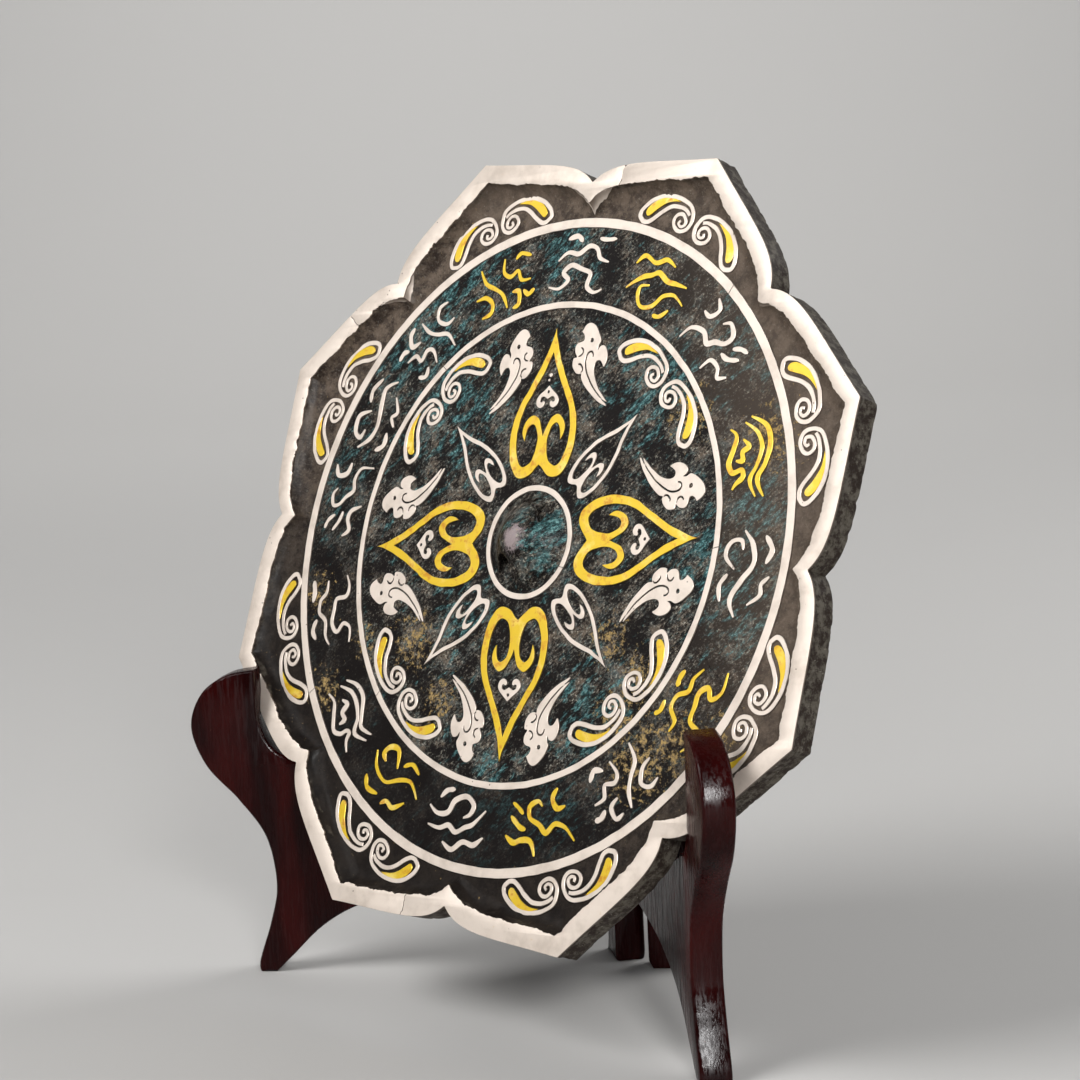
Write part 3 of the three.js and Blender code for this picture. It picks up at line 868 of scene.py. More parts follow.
@dataclass
class Knob:
    """The low pierced knob at the mirror's centre."""

    radius: float = 0.225 * UNIT
    height: float = 0.125 * UNIT
    hole_width: float = 7.6 * MM
    hole_height: float = 4.6 * MM
    hole_turn: float = 55.0
    mouths: tuple[tuple[float, float, float, float], ...] = ((-0.135, 0.085, 0.07, 0.095), (0.15, 0.055, 0.045, 0.07))

    def build(self, shop: Workshop) -> None:
        """Makes the knob."""
        deselect()
        bpy.ops.mesh.primitive_uv_sphere_add(segments=64, ring_count=40, radius=1)
        knob = bpy.context.object
        knob.name = knob.data.name = "bronze_knob"
        for vertex in knob.data.vertices:
            vertex.co.z *= 1 - 0.999 * (vertex.co.x ** 2 + vertex.co.y ** 2)
        knob.data.transform(Matrix.Diagonal((self.radius, self.radius, self.height, 1)))
        take(knob)
        bpy.ops.object.mode_set(mode="EDIT")
        bpy.ops.mesh.select_all(action="SELECT")
        bpy.ops.mesh.bisect(plane_co=(0, 0, -0.2 * MM), plane_no=(0, 0, 1), use_fill=True, clear_inner=True)
        bpy.ops.object.mode_set(mode="OBJECT")
        deselect()
        bpy.ops.mesh.primitive_cylinder_add(vertices=32, radius=1, depth=1)
        cutter = bpy.context.object
        cutter.data.transform(Matrix.Rotation(math.pi / 2, 4, "Y"))
        cutter.data.transform(Matrix.Diagonal((4 * self.radius, self.hole_width / 2, self.hole_height / 2, 1)))
        cutter.data.transform(Matrix.Translation((0, 0, self.hole_height / 2 + 0.3 * MM)))
        cutter.data.transform(Matrix.Rotation(math.radians(self.hole_turn), 4, "Z"))
        apply_modifier(knob, "BOOLEAN", object=cutter, operation="DIFFERENCE", solver="EXACT")
        bpy.data.objects.remove(cutter)
        for reach, length, breadth, height in self.mouths:
            self._open(knob, reach, length, breadth, height)
        apply_modifier(knob, "REMESH", mode="VOXEL", voxel_size=0.42 * MM)
        apply_modifier(knob, "SMOOTH", factor=0.5, iterations=3)
        for vertex in knob.data.vertices:
            if vertex.co.z > 0:
                dent = noise.fractal(vertex.co / (3.5 * MM), 0.6, 2.2, 4)
                vertex.co *= 1 - 0.03 * abs(dent)
        knob.data.transform(PLACE.matrix)
        smooth(knob, 60)
        shop.hand_over(knob, Metal.BRONZE)

    def _open(self, knob: bpy.types.Object, reach: float, length: float, breadth: float, height: float) -> None:
        """Widens the hole to a mouth at one end; its place and half sizes are in the mirror's units."""
        deselect()
        bpy.ops.mesh.primitive_ico_sphere_add(subdivisions=4, radius=1)
        mouth = bpy.context.object
        mouth.data.transform(Matrix.Diagonal((length * UNIT, breadth * UNIT, height * UNIT, 1)))
        mouth.data.transform(Matrix.Translation((reach * UNIT, 0, 0.3 * MM)))
        mouth.data.transform(Matrix.Rotation(math.radians(self.hole_turn), 4, "Z"))
        apply_modifier(knob, "BOOLEAN", object=mouth, operation="DIFFERENCE", solver="EXACT")
        bpy.data.objects.remove(mouth)


# ---------------------------------------------------------------- silver sheet and rings


@dataclass
class SilverSheath:
    """The silver sheet on the rim: its inner edge is torn, and it has split in a few places."""

    outline: PetalOutline
    disc: BronzeDisc
    steps: int = 1536
    lap: float = 0.003 * UNIT
    folds: tuple[tuple[float, float], ...] = ((39.5, 0.022), (84.5, 0.040), (129.5, 0.030))
    fold_spread: float = 5.0
    top: float = 4.3 * MM
    depth: float = 0.6 * MM
    splits: tuple[float, ...] = (78.5, 139.7, 255.9)
    split_gap: float = 0.16 * MM

    def _tear(self, angle: float) -> float:
        """Gives how far the inner edge strays inwards, in metres."""
        around = Vector((math.cos(angle), math.sin(angle), 0.7))
        ragged = noise.fractal(around * 26, 0.55, 2.1, 6) * 0.55 * MM
        leftward = max(0.0, -around.x)
        lost = max(0.0, noise.fractal(around * 11, 0.8, 2.2, 5)) * leftward * 2.4 * MM
        return ragged - math.floor(lost / (0.35 * MM)) * 0.35 * MM

    def build(self, shop: Workshop) -> None:
        """Makes the sheath."""
        cuts = [*self.splits, self.splits[0] + 360]
        parts = []
        for start, end in zip(cuts, cuts[1:]):
            count = round(self.steps * (end - start) / 360)
            angles = [math.radians(start + (end - start) * step / count) for step in range(count + 1)]
            outer, inner = self._edge(angles, 0.0, 0.0), self._edge(angles, 1.0, 1.0)
            first, last = self._split(start, 1), self._split(end, -1)
            parts.append(cut_plate("sheet", [outer[1:-1] + last + inner[1:-1][::-1] + first[::-1]],
                                   self.top, self.depth, 0.14 * MM, 2, 1.0))
        sheath = join([*parts, *(self._fold(degrees, reach * UNIT) for degrees, reach in self.folds)], "silver_sheath")
        sheath.data.transform(PLACE.matrix)
        smooth(sheath, 25)
        shop.hand_over(sheath, Metal.SILVER, "silver_rim")

    def _width(self, angle: float) -> float:
        """Gives the sheet's width: it laps a little over the rim's inner edge."""
        return self.disc.rim(angle) + self.lap

    def _fold(self, degrees: float, longest: float) -> bpy.types.Object:
        """Makes the small flap of sheet that is folded down the slope at a notch."""
        deselect()
        bpy.ops.mesh.primitive_grid_add(x_subdivisions=28, y_subdivisions=7, size=2)
        flap = bpy.context.object
        for vertex in flap.data.vertices:
            angle = math.radians(degrees + vertex.co.x * self.fold_spread)
            down = (vertex.co.y + 1) / 2 * (1 - abs(vertex.co.x) ** 1.4)
            ragged = 1 + 0.35 * noise.fractal(Vector((angle * 40, degrees, 0.2)), 0.6, 2.1, 4)
            sunk = longest * down * ragged
            reach = self.outline.radius(angle) - self._width(angle) + 0.5 * MM - sunk
            share = min(1.0, max(0.0, sunk - 0.3 * MM) / self.disc.cove(angle))
            height = self.disc.cove_height(angle, share) + 0.62 * MM * (1 - 0.5 * share)
            vertex.co = (reach * math.cos(angle), reach * math.sin(angle), height)
        apply_modifier(flap, "SOLIDIFY", thickness=0.4 * MM, offset=-1.0)
        tidy_mesh(flap)
        return flap

    def _edge(self, angles: Sequence[float], share: float, torn: float) -> Loop:
        """Gives the sheet's points at a share of its width."""
        points = []
        for angle in angles:
            reach = self.outline.radius(angle) - self._width(angle) * share - torn * self._tear(angle) - 0.05 * MM
            points.append((reach * math.cos(angle), reach * math.sin(angle)))
        return points

    def _split(self, degrees: float, side: int) -> Loop:
        """Gives one side of a jagged split across the sheet, from outside to inside."""
        points = []
        for step in range(9):
            share = step / 8
            angle = math.radians(degrees)
            reach = self.outline.radius(angle) - self._width(angle) * share - 0.05 * MM
            if step == 8:
                reach -= self._tear(angle)
            zigzag = noise.noise(Vector((degrees, share * 5, 0.3))) * 1.1 * MM
            angle += (zigzag + side * self.split_gap / 2) / reach
            points.append((reach * math.cos(angle), reach * math.sin(angle)))
        return points


@dataclass
class SilverRing:
    """A silver band let into the field, with a few hairline breaks."""

    name: str
    node: str
    radius: float
    width: float
    breaks: tuple[float, ...] = ()
    steps: int = 360
    gap: float = 0.14 * MM

    def build(self, shop: Workshop) -> None:
        """Makes the ring."""
        inner, outer = self.radius - self.width / 2, self.radius + self.width / 2
        if not self.breaks:
            loops = [circle(0, 0, outer, self.steps), circle(0, 0, inner, self.steps)]
            ring = cut_plate(self.name, loops, FACE_TOP, 0.6 * MM, 0.12 * MM, 2)
        else:
            ends = [*self.breaks, self.breaks[0] + 360]
            ring = join([self._arc(*pair, inner, outer) for pair in zip(ends, ends[1:])], self.name)
        wear(ring, 0.16 * MM, 4 * MM)
        ring.data.transform(PLACE.matrix)
        smooth(ring, 18)
        shop.hand_over(ring, Metal.SILVER, self.node)

    def _arc(self, start: float, end: float, inner: float, outer: float) -> bpy.types.Object:
        """Makes the band between two breaks, given in degrees."""
        count = max(8, round(self.steps * (end - start) / 360))
        half = math.degrees(self.gap / 2 / (self.radius * UNIT))
        lean = math.degrees(0.25 * MM / (self.radius * UNIT))
        loop: Loop = []
        for reach, tilt, order in ((outer, lean, 1), (inner, -lean, -1)):
            turns = [start + half + (end - start - 2 * half) * step / count for step in range(count + 1)]
            turns[0] += tilt
            turns[-1] += tilt
            side = [(reach * math.cos(math.radians(t)), reach * math.sin(math.radians(t))) for t in turns]
            loop += side[::order]
        return cut_plate("arc", [loop], FACE_TOP, 0.6 * MM, 0.12 * MM, 2)


# ---------------------------------------------------------------- inlaid figures


@dataclass
class Hearts:
    """Four gold hearts on the cross and four slim silver ones between them."""

    gold_edge: tuple[Point, ...] = ((0, 0.985), (0.014, 0.93), (0.062, 0.815), (0.12, 0.71), (0.172, 0.62),
                                    (0.197, 0.53), (0.198, 0.44), (0.178, 0.36), (0.14, 0.306), (0.095, 0.292),
                                    (0.052, 0.308), (0.018, 0.338), (0, 0.352))
    gold_inside: tuple[Point, ...] = ((0, 0.872), (0.03, 0.80), (0.088, 0.70), (0.14, 0.605), (0.16, 0.52),
                                      (0.158, 0.445), (0.138, 0.38), (0.112, 0.35), (0.085, 0.348),
                                      (0.052, 0.372), (0.034, 0.425), (0.031, 0.475), (0.044, 0.52),
                                      (0.07, 0.541), (0.092, 0.53), (0.105, 0.50), (0.11, 0.462))
    gold_curl: tuple[Point, ...] = ((0.11, 0.462), (0.126, 0.492), (0.127, 0.528), (0.108, 0.564), (0.075, 0.583),
                                    (0.04, 0.566), (0.018, 0.53), (0, 0.485))
    silver_edge: tuple[Point, ...] = ((0, 0.79), (0.012, 0.735), (0.036, 0.665), (0.065, 0.60), (0.085, 0.54),
                                      (0.093, 0.475), (0.092, 0.41), (0.078, 0.353), (0.054, 0.325),
                                      (0.03, 0.332), (0.012, 0.347), (0, 0.352))
    silver_inside: tuple[Point, ...] = ((0, 0.725), (0.018, 0.66), (0.047, 0.595), (0.067, 0.535), (0.076, 0.475),
                                        (0.075, 0.42), (0.064, 0.374), (0.047, 0.354), (0.03, 0.362),
                                        (0.017, 0.392), (0.013, 0.435), (0.017, 0.472), (0.028, 0.489),
                                        (0.041, 0.484), (0.05, 0.464), (0.055, 0.452))
    silver_curl: tuple[Point, ...] = ((0.055, 0.452), (0.06, 0.475), (0.055, 0.502), (0.038, 0.518),
                                      (0.02, 0.508), (0.009, 0.485), (0, 0.46))

    def build(self, shop: Workshop) -> None:
        """Makes all eight hearts and the small figures inside the gold ones."""
        gold = self._heart(self.gold_edge, self.gold_inside, self.gold_curl, 0.13 * MM)
        slim = self._heart(self.silver_edge, self.silver_inside, self.silver_curl, 0.1 * MM)
        for quarter in range(4):
            number = quarter + 1
            shop.set_in_mirror(gold, f"gold_heart_inlay_{number}", Metal.GOLD, -90 * quarter,
                               [f"gold_heart_{number}"], 0.2 * MM)
            shop.set_in_mirror(slim, f"slim_heart_inlay_{number}", Metal.SILVER, -90 * quarter - 45,
                               [f"silver_heart_{number}"], 0.15 * MM)
            volute = self._volute(quarter == 0)
            shop.set_in_mirror(volute, f"heart_volute_{number}", Metal.SILVER, -90 * quarter)
            bpy.data.objects.remove(volute)
        bpy.data.objects.remove(gold)
        bpy.data.objects.remove(slim)

    def _heart(self, edge: Sequence[Point], inside: Sequence[Point], curl: Sequence[Point],
               ease: float) -> bpy.types.Object:
        """Makes one heart: its outline, and the one dark space that runs round its two curls."""
        space = catmull(inside, 7)[:-1] + catmull(curl, 7)
        return cut_plate("heart", [both_sides(catmull(edge, 7)), both_sides(space)], FACE_TOP, 0.6 * MM, ease, 2)

    def _volute(self, with_dots: bool) -> bpy.types.Object:
        """Makes the small double curl with a dot in its middle."""
        half = (catmull([(0, 0.717), (0.022, 0.698), (0.055, 0.672), (0.068, 0.65), (0.062, 0.626),
                         (0.04, 0.614), (0.021, 0.622), (0.016, 0.64), (0.026, 0.646)], 6)
                + catmull([(0.034, 0.64), (0.045, 0.645), (0.042, 0.66), (0.026, 0.666), (0.012, 0.66), (0, 0.654)], 6))
        loops = [both_sides(half), circle(0, 0.688, 0.0075, 12)]
        if with_dots:
            loops += [circle(0.002, 0.765, 0.0095, 12), circle(-0.006, 0.742, 0.006, 10)]
        return cut_plate("volute", loops, FACE_TOP, 0.6 * MM, 0.08 * MM)


@dataclass
class Clouds:
    """Eight curled clouds with an eye, engraved grooves and a forked tail."""

    angle: float = 22.0
    edge: tuple[Point, ...] = (
        (-0.21, 0.944), (-0.202, 0.978), (-0.18, 0.998), (-0.148, 0.996), (-0.112, 0.976), (-0.086, 0.954),
        (-0.078, 0.938), (-0.08, 0.918), (-0.073, 0.899), (-0.068, 0.919), (-0.05, 0.931), (-0.028, 0.924),
        (-0.008, 0.902), (0.002, 0.876), (0.0, 0.844), (-0.014, 0.853), (-0.034, 0.864), (-0.052, 0.857),
        (-0.056, 0.838), (-0.046, 0.812), (-0.012, 0.775), (0.034, 0.744), (0.094, 0.716), (0.094, 0.711),
        (0.06, 0.714), (0.102, 0.70), (0.102, 0.692), (0.048, 0.697), (-0.008, 0.711), (-0.068, 0.735),
        (-0.102, 0.757), (-0.112, 0.774), (-0.124, 0.767), (-0.146, 0.766), (-0.176, 0.782), (-0.19, 0.804),
        (-0.193, 0.822), (-0.178, 0.833), (-0.198, 0.848), (-0.21, 0.872), (-0.204, 0.892), (-0.18, 0.91),
        (-0.178, 0.924), (-0.192, 0.938))
    grooves: tuple[tuple[Point, ...], ...] = (
        ((-0.084, 0.864), (-0.09, 0.876), (-0.104, 0.883), (-0.12, 0.872), (-0.122, 0.846), (-0.104, 0.812),
         (-0.068, 0.778), (-0.016, 0.746), (0.04, 0.722), (0.068, 0.713)),
        ((-0.174, 0.879), (-0.159, 0.874), (-0.153, 0.859), (-0.160, 0.845), (-0.172, 0.838)),
        ((-0.151, 0.805), (-0.14, 0.81), (-0.122, 0.803), (-0.114, 0.79), (-0.117, 0.778)),
        ((-0.044, 0.891), (-0.054, 0.886), (-0.066, 0.888), (-0.073, 0.896)))
    groove_width: float = 0.0085

    def build(self, shop: Workshop) -> None:
        """Makes the clouds, four to each hand."""
        loops = [catmull([*self.edge, self.edge[0]], 4)[:-1], circle(-0.131, 0.93, 0.0105, 12)]
        for groove in self.grooves[:3]:
            width = self.groove_width
            loops.append(ribbon(groove, (width * 0.7, width, width, width * 0.8, width * 0.5), 4))
        for side, hand in ((-1, "a"), (1, "b")):
            pattern = cut_plate("cloud", across(loops) if side < 0 else loops, FACE_TOP, 0.6 * MM, 0.07 * MM)
            for quarter in range(4):
                number = quarter + 1
                shop.set_in_mirror(pattern, f"cloud_inlay_{number}{hand}", Metal.SILVER,
                                   -90 * quarter - side * self.angle, [f"silver_cloud_{number}{hand}"], 0.15 * MM)
            bpy.data.objects.remove(pattern)


@dataclass
class Scrolls:
    """Pairs of scrolls: a silver loop that winds into a spiral, with a gold leaf inside."""

    petal_turn: float = -5.5
    drop: float = 0.61
    shift: float = 0.021
    line: tuple[Point, ...] = (
        (0.058, 1.565), (0.064, 1.549), (0.046, 1.54), (0.027, 1.5525), (0.033, 1.5775), (0.061, 1.591),
        (0.089, 1.58), (0.099, 1.5525), (0.08, 1.5275), (0.0425, 1.518), (0.011, 1.534), (-0.0025, 1.565),
        (0.002, 1.596), (0.0175, 1.624), (0.0425, 1.64), (0.08, 1.647), (0.1175, 1.648), (0.161, 1.641),
        (0.211, 1.624), (0.255, 1.593), (0.283, 1.559), (0.301, 1.521), (0.297, 1.492), (0.264, 1.4775))
    stem: tuple[Point, ...] = (
        (0.272, 1.4775), (0.24, 1.484), (0.212, 1.514), (0.18, 1.563), (0.1425, 1.5985), (0.099, 1.613),
        (0.055, 1.613), (0.024, 1.602))
    leaf: tuple[Point, ...] = (
        (0.112, 1.6355), (0.145, 1.622), (0.18, 1.602), (0.21, 1.57), (0.234, 1.532), (0.247, 1.512),
        (0.262, 1.507), (0.276, 1.520), (0.274, 1.546), (0.252, 1.581), (0.22, 1.610), (0.18, 1.628),
        (0.143, 1.636), (0.112, 1.6355))

    def build(self, shop: Workshop) -> None:
        """Makes the pairs in the petals and in the field."""
        for side, hand in ((-1, "a"), (1, "b")):
            for lower, where in ((0.0, "petal"), (self.drop, "field")):
                silver, gold = self._pattern(side, lower)
                for number in range(1, 9 if where == "petal" else 5):
                    turn = -90 * (number - 1) - 45 if lower else self.petal_turn - 22.5 - 45 * (number - 1)
                    shop.set_in_mirror(silver, f"{where}_scroll_inlay_{number}{hand}", Metal.SILVER, turn,
                                       [f"silver_{where}_scroll_{number}{hand}"], 0.16 * MM)
                    shop.set_in_mirror(gold, f"{where}_leaf_{number}{hand}", Metal.GOLD, turn, (), 0.14 * MM)
                bpy.data.objects.remove(silver)
                bpy.data.objects.remove(gold)

    def _pattern(self, side: int, lower: float) -> tuple[bpy.types.Object, bpy.types.Object]:
        """Makes one scroll and its leaf, on one side of the pair's axis."""
        def placed(points: Sequence[Point]) -> list[Point]:
            return [(side * (x + self.shift), y - lower) for x, y in points]

        winding = ribbon(placed(self.line), (0.013, 0.017, 0.018, 0.02, 0.02, 0.022, 0.021), 5)
        stem = ribbon(placed(self.stem), (0.021, 0.021, 0.02, 0.016), 5)
        silver = join([cut_plate("scroll", [winding], FACE_TOP, 0.6 * MM, 0.1 * MM),
                       cut_plate("stem", [stem], FACE_TOP - 0.02 * MM, 0.58 * MM, 0.1 * MM)], "scroll")
        gold = cut_plate("leaf", [catmull(placed(self.leaf), 4)[:-1]], FACE_TOP - 0.04 * MM, 0.56 * MM, 0.1 * MM)
        return silver, gold


@dataclass
class StrokeBand:
    """Sixteen groups of worn flourishes between the rings, by turns silver and gold; none of them is a sign."""

    radius: float = 1.275
    silver: tuple[float, ...] = (86, 42, -7, -55, -100, -141, -165, 169, 150, 130)
    gold: tuple[float, ...] = (63, 15, -33, -77, -121, 107)
    narrow: float = 0.9
    seed: int = 7
    kinds: tuple[tuple[tuple[Point, ...], ...], ...] = (
        (((-.2, .03), (-.13, .09), (-.04, .1), (.04, .06), (.1, .02), (.19, .05)),
         ((-.19, -.01), (-.12, .045), (-.04, .055), (.04, .02), (.1, -.025), (.18, .005)),
         ((-.12, -.03), (-.07, -.01), (-.05, -.045), (-.01, -.055), (-.02, -.09)),
         ((-.2, -.09), (-.14, -.07), (-.08, -.1), (-.02, -.13), (.03, -.11), (.04, -.07), (.07, -.06), (.09, -.1), (.13, -.12))),
        (((-.21, .02), (-.13, 0), (-.07, .03), (-.03, .09), (.04, .12), (.1, .09), (.1, .04), (.05, .025)),
         ((-.17, -.06), (-.1, -.05), (-.04, -.03), (.02, -.05), (.07, -.02), (.13, 0), (.2, .07)),
         ((-.05, -.1), (.02, -.12), (.08, -.08), (.15, -.09), (.2, -.05)),
         ((-.15, .07), (-.11, .12), (-.06, .13))),
        (((-.14, .13), (-.12, .05), (-.06, 0), (-.02, -.05), (0, -.12)),
         ((-.2, 0), (-.14, -.01), (-.1, -.06), (-.13, -.11), (-.19, -.1)),
         ((.02, .12), (0, .06), (.04, .02), (.1, .04), (.12, -.01), (.18, -.02)),
         ((.05, -.05), (.1, -.07), (.09, -.12), (.04, -.13)),
         ((.13, -.06), (.17, -.09), (.21, -.08)),
         ((.08, .1), (.13, .12), (.18, .09))),
        (((-.21, 0), (-.13, .05), (-.04, .02), (.05, -.03), (.14, -.02), (.21, .04)),
         ((-.16, .1), (-.08, .12), (-.02, .09)),
         ((.01, .06), (.07, .12), (.14, .1), (.15, .05), (.11, .04)),
         ((-.14, -.05), (-.09, -.1), (-.03, -.09), (0, -.13)),
         ((.05, -.1), (.12, -.12), (.17, -.08))),
        (((-.2, .12), (-.17, .05), (-.1, .02), (-.04, .04), (0, 0), (.05, -.03), (.05, -.08), (0, -.1), (-.03, -.07)),
         ((.04, .13), (.06, .07), (.12, .05), (.17, .07), (.21, .03)),
         ((.08, .01), (.13, -.01), (.18, -.05)),
         ((.1, -.05), (.13, -.08), (.18, -.11)),
         ((-.18, -.04), (-.12, -.05), (-.1, -.1), (-.15, -.13))),
        (((-.2, .09), (-.12, .11), (-.07, .07), (-.1, .03), (-.05, 0), (.02, .02), (.08, .04), (.08, .1), (.14, .12), (.2, .1)),
         ((-.15, -.03), (-.09, -.06), (-.02, -.05), (.04, -.09), (.1, -.08), (.13, -.03), (.19, -.02)),
         ((-.1, -.12), (-.04, -.13), (0, -.11)),
         ((.1, -.13), (.15, -.12), (.2, -.13))))

    def build(self, shop: Workshop) -> None:
        """Makes the groups."""
        chance = random.Random(self.seed)
        for metal, angles in ((Metal.SILVER, self.silver), (Metal.GOLD, self.gold)):
            for number, angle in enumerate(angles, 1):
                kind = (number * 5 + (2 if metal is Metal.GOLD else 0)) % len(self.kinds)
                group = self._group(self.kinds[kind], chance)
                shop.set_in_mirror(group, f"{metal.value}_flourish_{number}", metal, angle - 90)
                bpy.data.objects.remove(group)

    def _group(self, strokes: Sequence[Sequence[Point]], chance: random.Random) -> bpy.types.Object:
        """Makes one group of flowing strokes, turned over and shifted by chance."""
        flip, over = chance.choice((-1, 1)), chance.choice((-1, 1))
        plates = []
        for order, points in enumerate(strokes):
            bent = []
            for x, y in points:
                reach = self.radius + over * y + chance.uniform(-0.006, 0.006)
                turn = (flip * x * self.narrow + chance.uniform(-0.006, 0.006)) / self.radius
                bent.append((reach * math.sin(turn), reach * math.cos(turn)))
            full = chance.uniform(0.021, 0.030)
            widths = (0.008, full * 0.85, full, full * 0.8, full * 0.95, 0.008)
            plates.append(cut_plate("stroke", [ribbon(bent, widths, 6)], FACE_TOP - 0.01 * MM * order, 0.56 * MM,
                                    0.07 * MM))
        return join(plates, "group")


# ---------------------------------------------------------------- the stand


@dataclass
class CrossedStand:
    """Two lacquered boards halved into each other, each with a hook, a slot and an arch."""

    outline: PetalOutline
    thickness: float = 0.14 * UNIT
    spread: float = 53.4
    front_foot: Point = (-1.375 * UNIT, -0.445 * UNIT)
    lap_height: float = 0.8 * UNIT
    hook_back: float = 0.02
    support_top: float = 2.06
    centre_height: float = 2.11
    gap: float = 0.3 * MM
    edge: float = 1.1 * MM
    floor_drop: float = 0.001

    def build(self, shop: Workshop) -> None:
        """Makes both boards."""
        for side, name in ((-1, "left"), (1, "right")):
            board = cut_plate(f"lacquered_board_{name}", [self._side_view(self._slot_floor(side))],
                              self.thickness / 2, self.thickness, self.edge, 3)
            board.data.transform(Matrix.Translation((0, 0, side * self.thickness / 2)))
            self._halve(board, side)
            board.data.transform(self._placement(side))
            self._clear_mirror(board)
            for vertex in board.data.vertices:
                vertex.co.z = max(vertex.co.z, CAD_BOX[0].z)
            smooth(board, 30)
            shop.hand_over(board, Metal.LACQUER, f"stand_board_{name}")

    def _slot_floor(self, side: int) -> float:
        """Gives the height of the slot's floor, in units: the mirror's lowest point inside a board."""
        to_board = self._placement(side).inverted() @ PLACE.matrix
        heights = []
        for angle in self.outline.angles(4096):
            reach = self.outline.radius(angle) + self.gap
            for height in (-4.2 * MM - self.gap, 4.3 * MM + self.gap):
                spot = to_board @ Vector((reach * math.cos(angle), reach * math.sin(angle), height))
                if 0 <= side * spot.z <= self.thickness and abs(spot.x / UNIT - 0.3) < 0.5:
                    heights.append(spot.y / UNIT)
        return min(heights) - self.floor_drop

    def _support(self, height: float) -> float:
        """Gives where the mirror's back crosses a board, in units behind the foot."""
        lean = math.radians(PLACE.lean)
        back = (height - self.centre_height) * math.tan(lean) + (4.2 * MM + self.gap) / UNIT / math.cos(lean)
        return (back - self.front_foot[1] / UNIT) / math.cos(math.radians(self.spread))

    def _side_view(self, floor: float) -> Loop:
        """Draws a board: front foot, hook, slot, leaning support, crossing, back foot and arch."""
        top = self._support(self.support_top)
        front = catmull([(-0.035, 0), (-0.035, 0.06), (0.03, 0.25), (0.067, 0.43), (0.03, 0.66), (-0.09, 0.84),
                         (-0.24, 1.01), (-0.305, 1.2), (-0.245, 1.36), (-0.12, 1.445), (self.hook_back, 1.47)], 12)
        back = self.hook_back
        slot = catmull([(back, 1.3), (back + 0.006, floor + 0.2), (back + 0.035, floor + 0.11),
                        (back + 0.09, floor + 0.04), (back + 0.19, floor)], 8)
        slot.append((self._support(floor), floor))
        rear = catmull([(top, self.support_top), (top + 0.05, 2.13), (top + 0.14, 2.11), (1.1, 1.84), (1.25, 1.47),
                        (1.55, 1.25), (1.86, 1.13), (2.07, 0.93), (2.1, 0.6), (2.03, 0.3), (2.07, 0.08), (2.1, 0)], 12)
        arch = catmull([(1.84, 0.3), (1.8, 0.4), (1.66, 0.44), (1.2, 0.44), (0.75, 0.4), (0.46, 0.32),
                        (0.28, 0.22), (0.13, 0.08), (0.045, 0)], 12)
        return front + slot + rear + [(1.86, 0), (1.84, 0.04)] + arch

    def _placement(self, side: int) -> Matrix:
        """Gives the turn from a board's side view to its place."""
        turn = math.radians(self.spread)
        along = Vector((-side * math.sin(turn), math.cos(turn), 0))
        up = Vector((0, 0, 1))
        across_board = along.cross(up)
        basis = Matrix((along, up, across_board)).transposed().to_4x4()
        foot = Vector((-side * self.front_foot[0], self.front_foot[1], 0)) + PLACE.stand_shift
        return Matrix.Translation(foot) @ basis

    def _halve(self, board: bpy.types.Object, side: int) -> None:
        """Cuts the halving for the other board."""
        low, high = (-UNIT, self.lap_height + self.gap / 2) if side > 0 else (
            self.lap_height - self.gap / 2, 2 * UNIT * self.support_top)
        crossing = -self.front_foot[0] / math.sin(math.radians(self.spread))
        deselect()
        bpy.ops.mesh.primitive_cube_add(size=1)
        block = bpy.context.object
        block.data.transform(Matrix.Diagonal((UNIT, high - low, self.thickness + 2 * self.gap, 1)))
        middle = Vector((crossing, (low + high) / 2, -side * self.thickness / 2))
        block.data.transform(Matrix.Translation(middle))
        block.data.transform(self._placement(-side))
        block.data.transform(self._placement(side).inverted())
        apply_modifier(board, "BOOLEAN", object=block, operation="DIFFERENCE", solver="EXACT")
        bpy.data.objects.remove(block)

    def _clear_mirror(self, board: bpy.types.Object) -> None:
        """Cuts away what would stand in the mirror's room."""
        loop = []
        for angle in self.outline.angles(512):
            reach = self.outline.radius(angle) + self.gap
            loop.append((reach * math.cos(angle), reach * math.sin(angle)))
        deselect()
        room = cut_plate("room", [loop], 4.3 * MM + self.gap, 8.5 * MM + 2 * self.gap, 0.01 * MM, 1, 1.0)
        room.data.transform(PLACE.matrix)
        apply_modifier(board, "BOOLEAN", object=room, operation="DIFFERENCE", solver="EXACT")
        bpy.data.objects.remove(room)


# ---------------------------------------------------------------- the studio


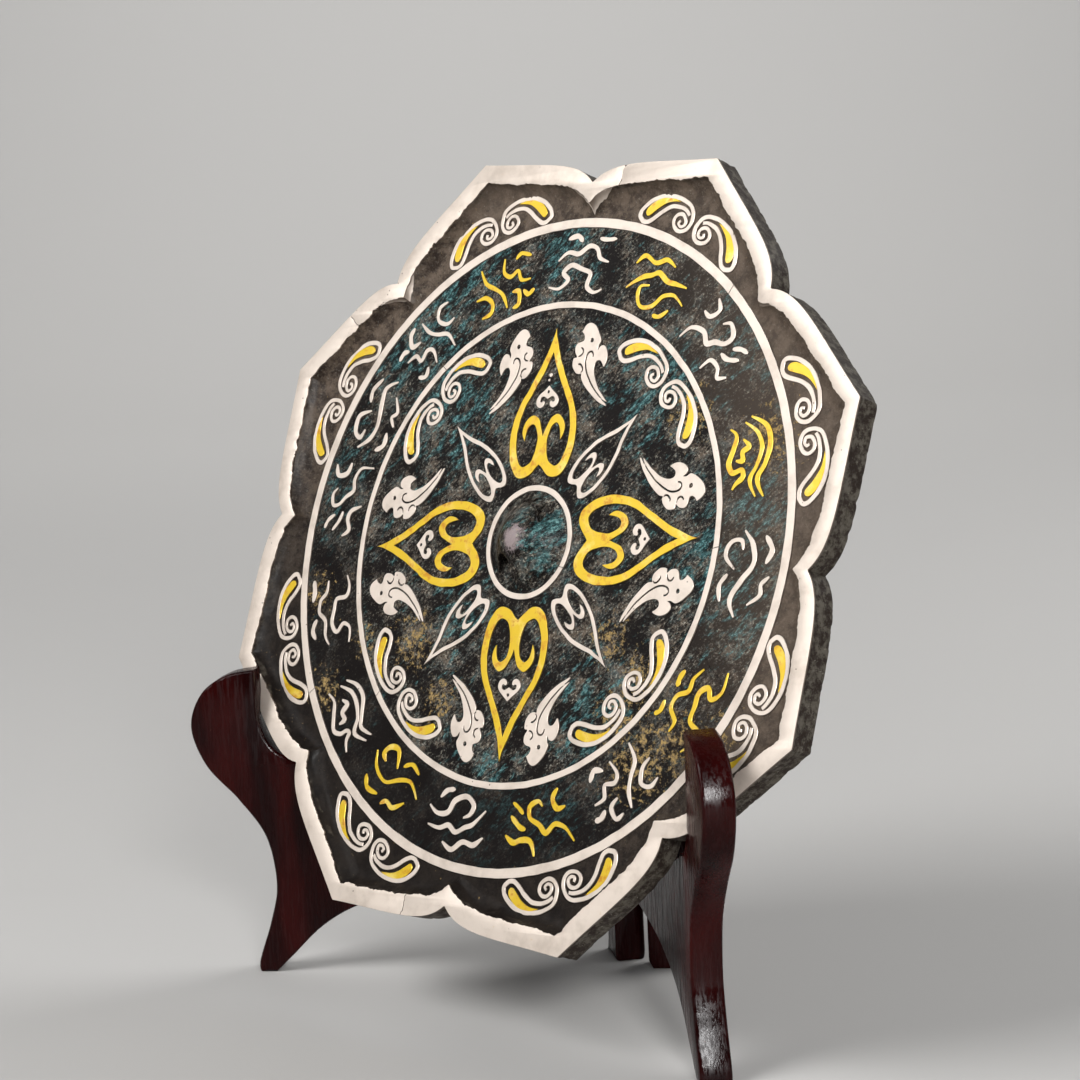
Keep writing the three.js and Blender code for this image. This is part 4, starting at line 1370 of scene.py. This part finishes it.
@dataclass(frozen=True)
class Studio:
    """Camera, floor and soft lights."""

    eye: tuple[float, float, float] = (8.4347, -8.3751, 1.5191)
    right: tuple[float, float, float] = (0.71092544, 0.7016401, -0.04781403)
    down: tuple[float, float, float] = (0.05493401, -0.12318438, -0.99086218)
    ahead: tuple[float, float, float] = (-0.70111859, 0.70180252, -0.12611881)
    lens: float = 90.0

    def camera(self) -> None:
        """Sets the camera where the mirror was seen from."""
        data = bpy.data.cameras.new("camera")
        data.lens = self.lens
        data.sensor_width = 36
        data.clip_start, data.clip_end = 0.01, 50
        camera = bpy.data.objects.new("camera", data)
        bpy.context.scene.collection.objects.link(camera)
        turn = Matrix((self.right, -Vector(self.down), -Vector(self.ahead))).transposed().to_4x4()
        camera.matrix_world = Matrix.Translation(PLACE.centre + Vector(self.eye) * UNIT) @ turn
        bpy.context.scene.camera = camera

    def floor(self) -> None:
        """Lays a plain pale floor that sweeps up far behind."""
        deselect()
        bpy.ops.mesh.primitive_plane_add(size=9)
        floor = bpy.context.object
        floor.name = "floor"
        bpy.ops.object.mode_set(mode="EDIT")
        bpy.ops.mesh.select_mode(type="EDGE")
        bpy.ops.mesh.select_all(action="DESELECT")
        mesh = bmesh.from_edit_mesh(floor.data)
        for edge in mesh.edges:
            edge.select_set(all(vertex.co.y > 4 for vertex in edge.verts))
        bpy.ops.mesh.extrude_region_move(TRANSFORM_OT_translate={"value": (0, 0, 6)})
        bpy.ops.mesh.select_all(action="DESELECT")
        for edge in mesh.edges:
            edge.select_set(all(vertex.co.y > 4 and vertex.co.z < 1 for vertex in edge.verts))
        bpy.ops.mesh.bevel(offset=2.2, segments=24)
        bpy.ops.object.mode_set(mode="OBJECT")
        floor.data.transform(Matrix.Rotation(math.radians(45), 4, "Z"))
        floor.data.transform(Matrix.Translation((0, 0, CAD_BOX[0].z)))
        smooth(floor, 30)
        graph = Graph("floor_finish")
        floor.data.materials.append(graph.finish(Base_Color=(0.50, 0.49, 0.475), Roughness=0.7))

    def light(self, name: str, spot: Sequence[float], size: float, power: float,
              target: Sequence[float] | None = None) -> bpy.types.Object:
        """Hangs a square soft light that faces the mirror, or another spot."""
        data = bpy.data.lights.new(name, "AREA")
        data.shape = "SQUARE"
        data.size = size
        data.energy = power
        lamp = bpy.data.objects.new(name, data)
        bpy.context.scene.collection.objects.link(lamp)
        lamp.location = spot
        facing = Vector(target or PLACE.centre) - Vector(spot)
        lamp.rotation_euler = facing.to_track_quat("-Z", "Y").to_euler()
        return lamp

    def build(self) -> None:
        """Sets up camera, floor, sky and lights."""
        self.camera()
        self.floor()
        world = bpy.data.worlds.new("studio")
        world.use_nodes = True
        world.node_tree.nodes["Background"].inputs["Color"].default_value = (0.9, 0.93, 1.0, 1.0)
        world.node_tree.nodes["Background"].inputs["Strength"].default_value = 0.09
        bpy.context.scene.world = world
        bpy.context.scene.view_settings.view_transform = "Standard"
        self.light("key", (-0.55, -1.2, 1.25), 1.0, 28)
        self.light("fill", (1.3, -0.9, 0.75), 0.32, 12)
        self.light("back", (0.5, 1.1, 1.1), 1.0, 14)
        self.light("sweep", (-1.5, 1.5, 2.6), 2.5, 75, (-3.0, 3.0, 1.0))
        self.light("glint", (1.3, -0.9, 0.75), 0.5, 75).visible_diffuse = False


def main() -> None:
    """Builds the mirror and its stand."""
    deselect()
    noise.seed_set(RIPPLE_SEED)
    Studio().build()
    shop = Workshop()
    shop.prepare()
    outline = PetalOutline()
    disc = BronzeDisc(outline)
    disc.build(shop)
    Knob().build(shop)
    SilverSheath(outline, disc).build(shop)
    for ring in (SilverRing("knob_ring", "silver_ring_knob", 0.247, 0.026, (332.0,), 160),
                 SilverRing("inner_ring", "silver_ring_inner", 1.09, 0.03, (129.5, 219.8, 357.7)),
                 SilverRing("outer_ring", "silver_ring_outer", 1.47, 0.0425, (47.2, 208.2), 480)):
        ring.build(shop)
    Hearts().build(shop)
    Clouds().build(shop)
    Scrolls().build(shop)
    StrokeBand().build(shop)
    CrossedStand(outline).build(shop)


if __name__ == "__main__":
    main()
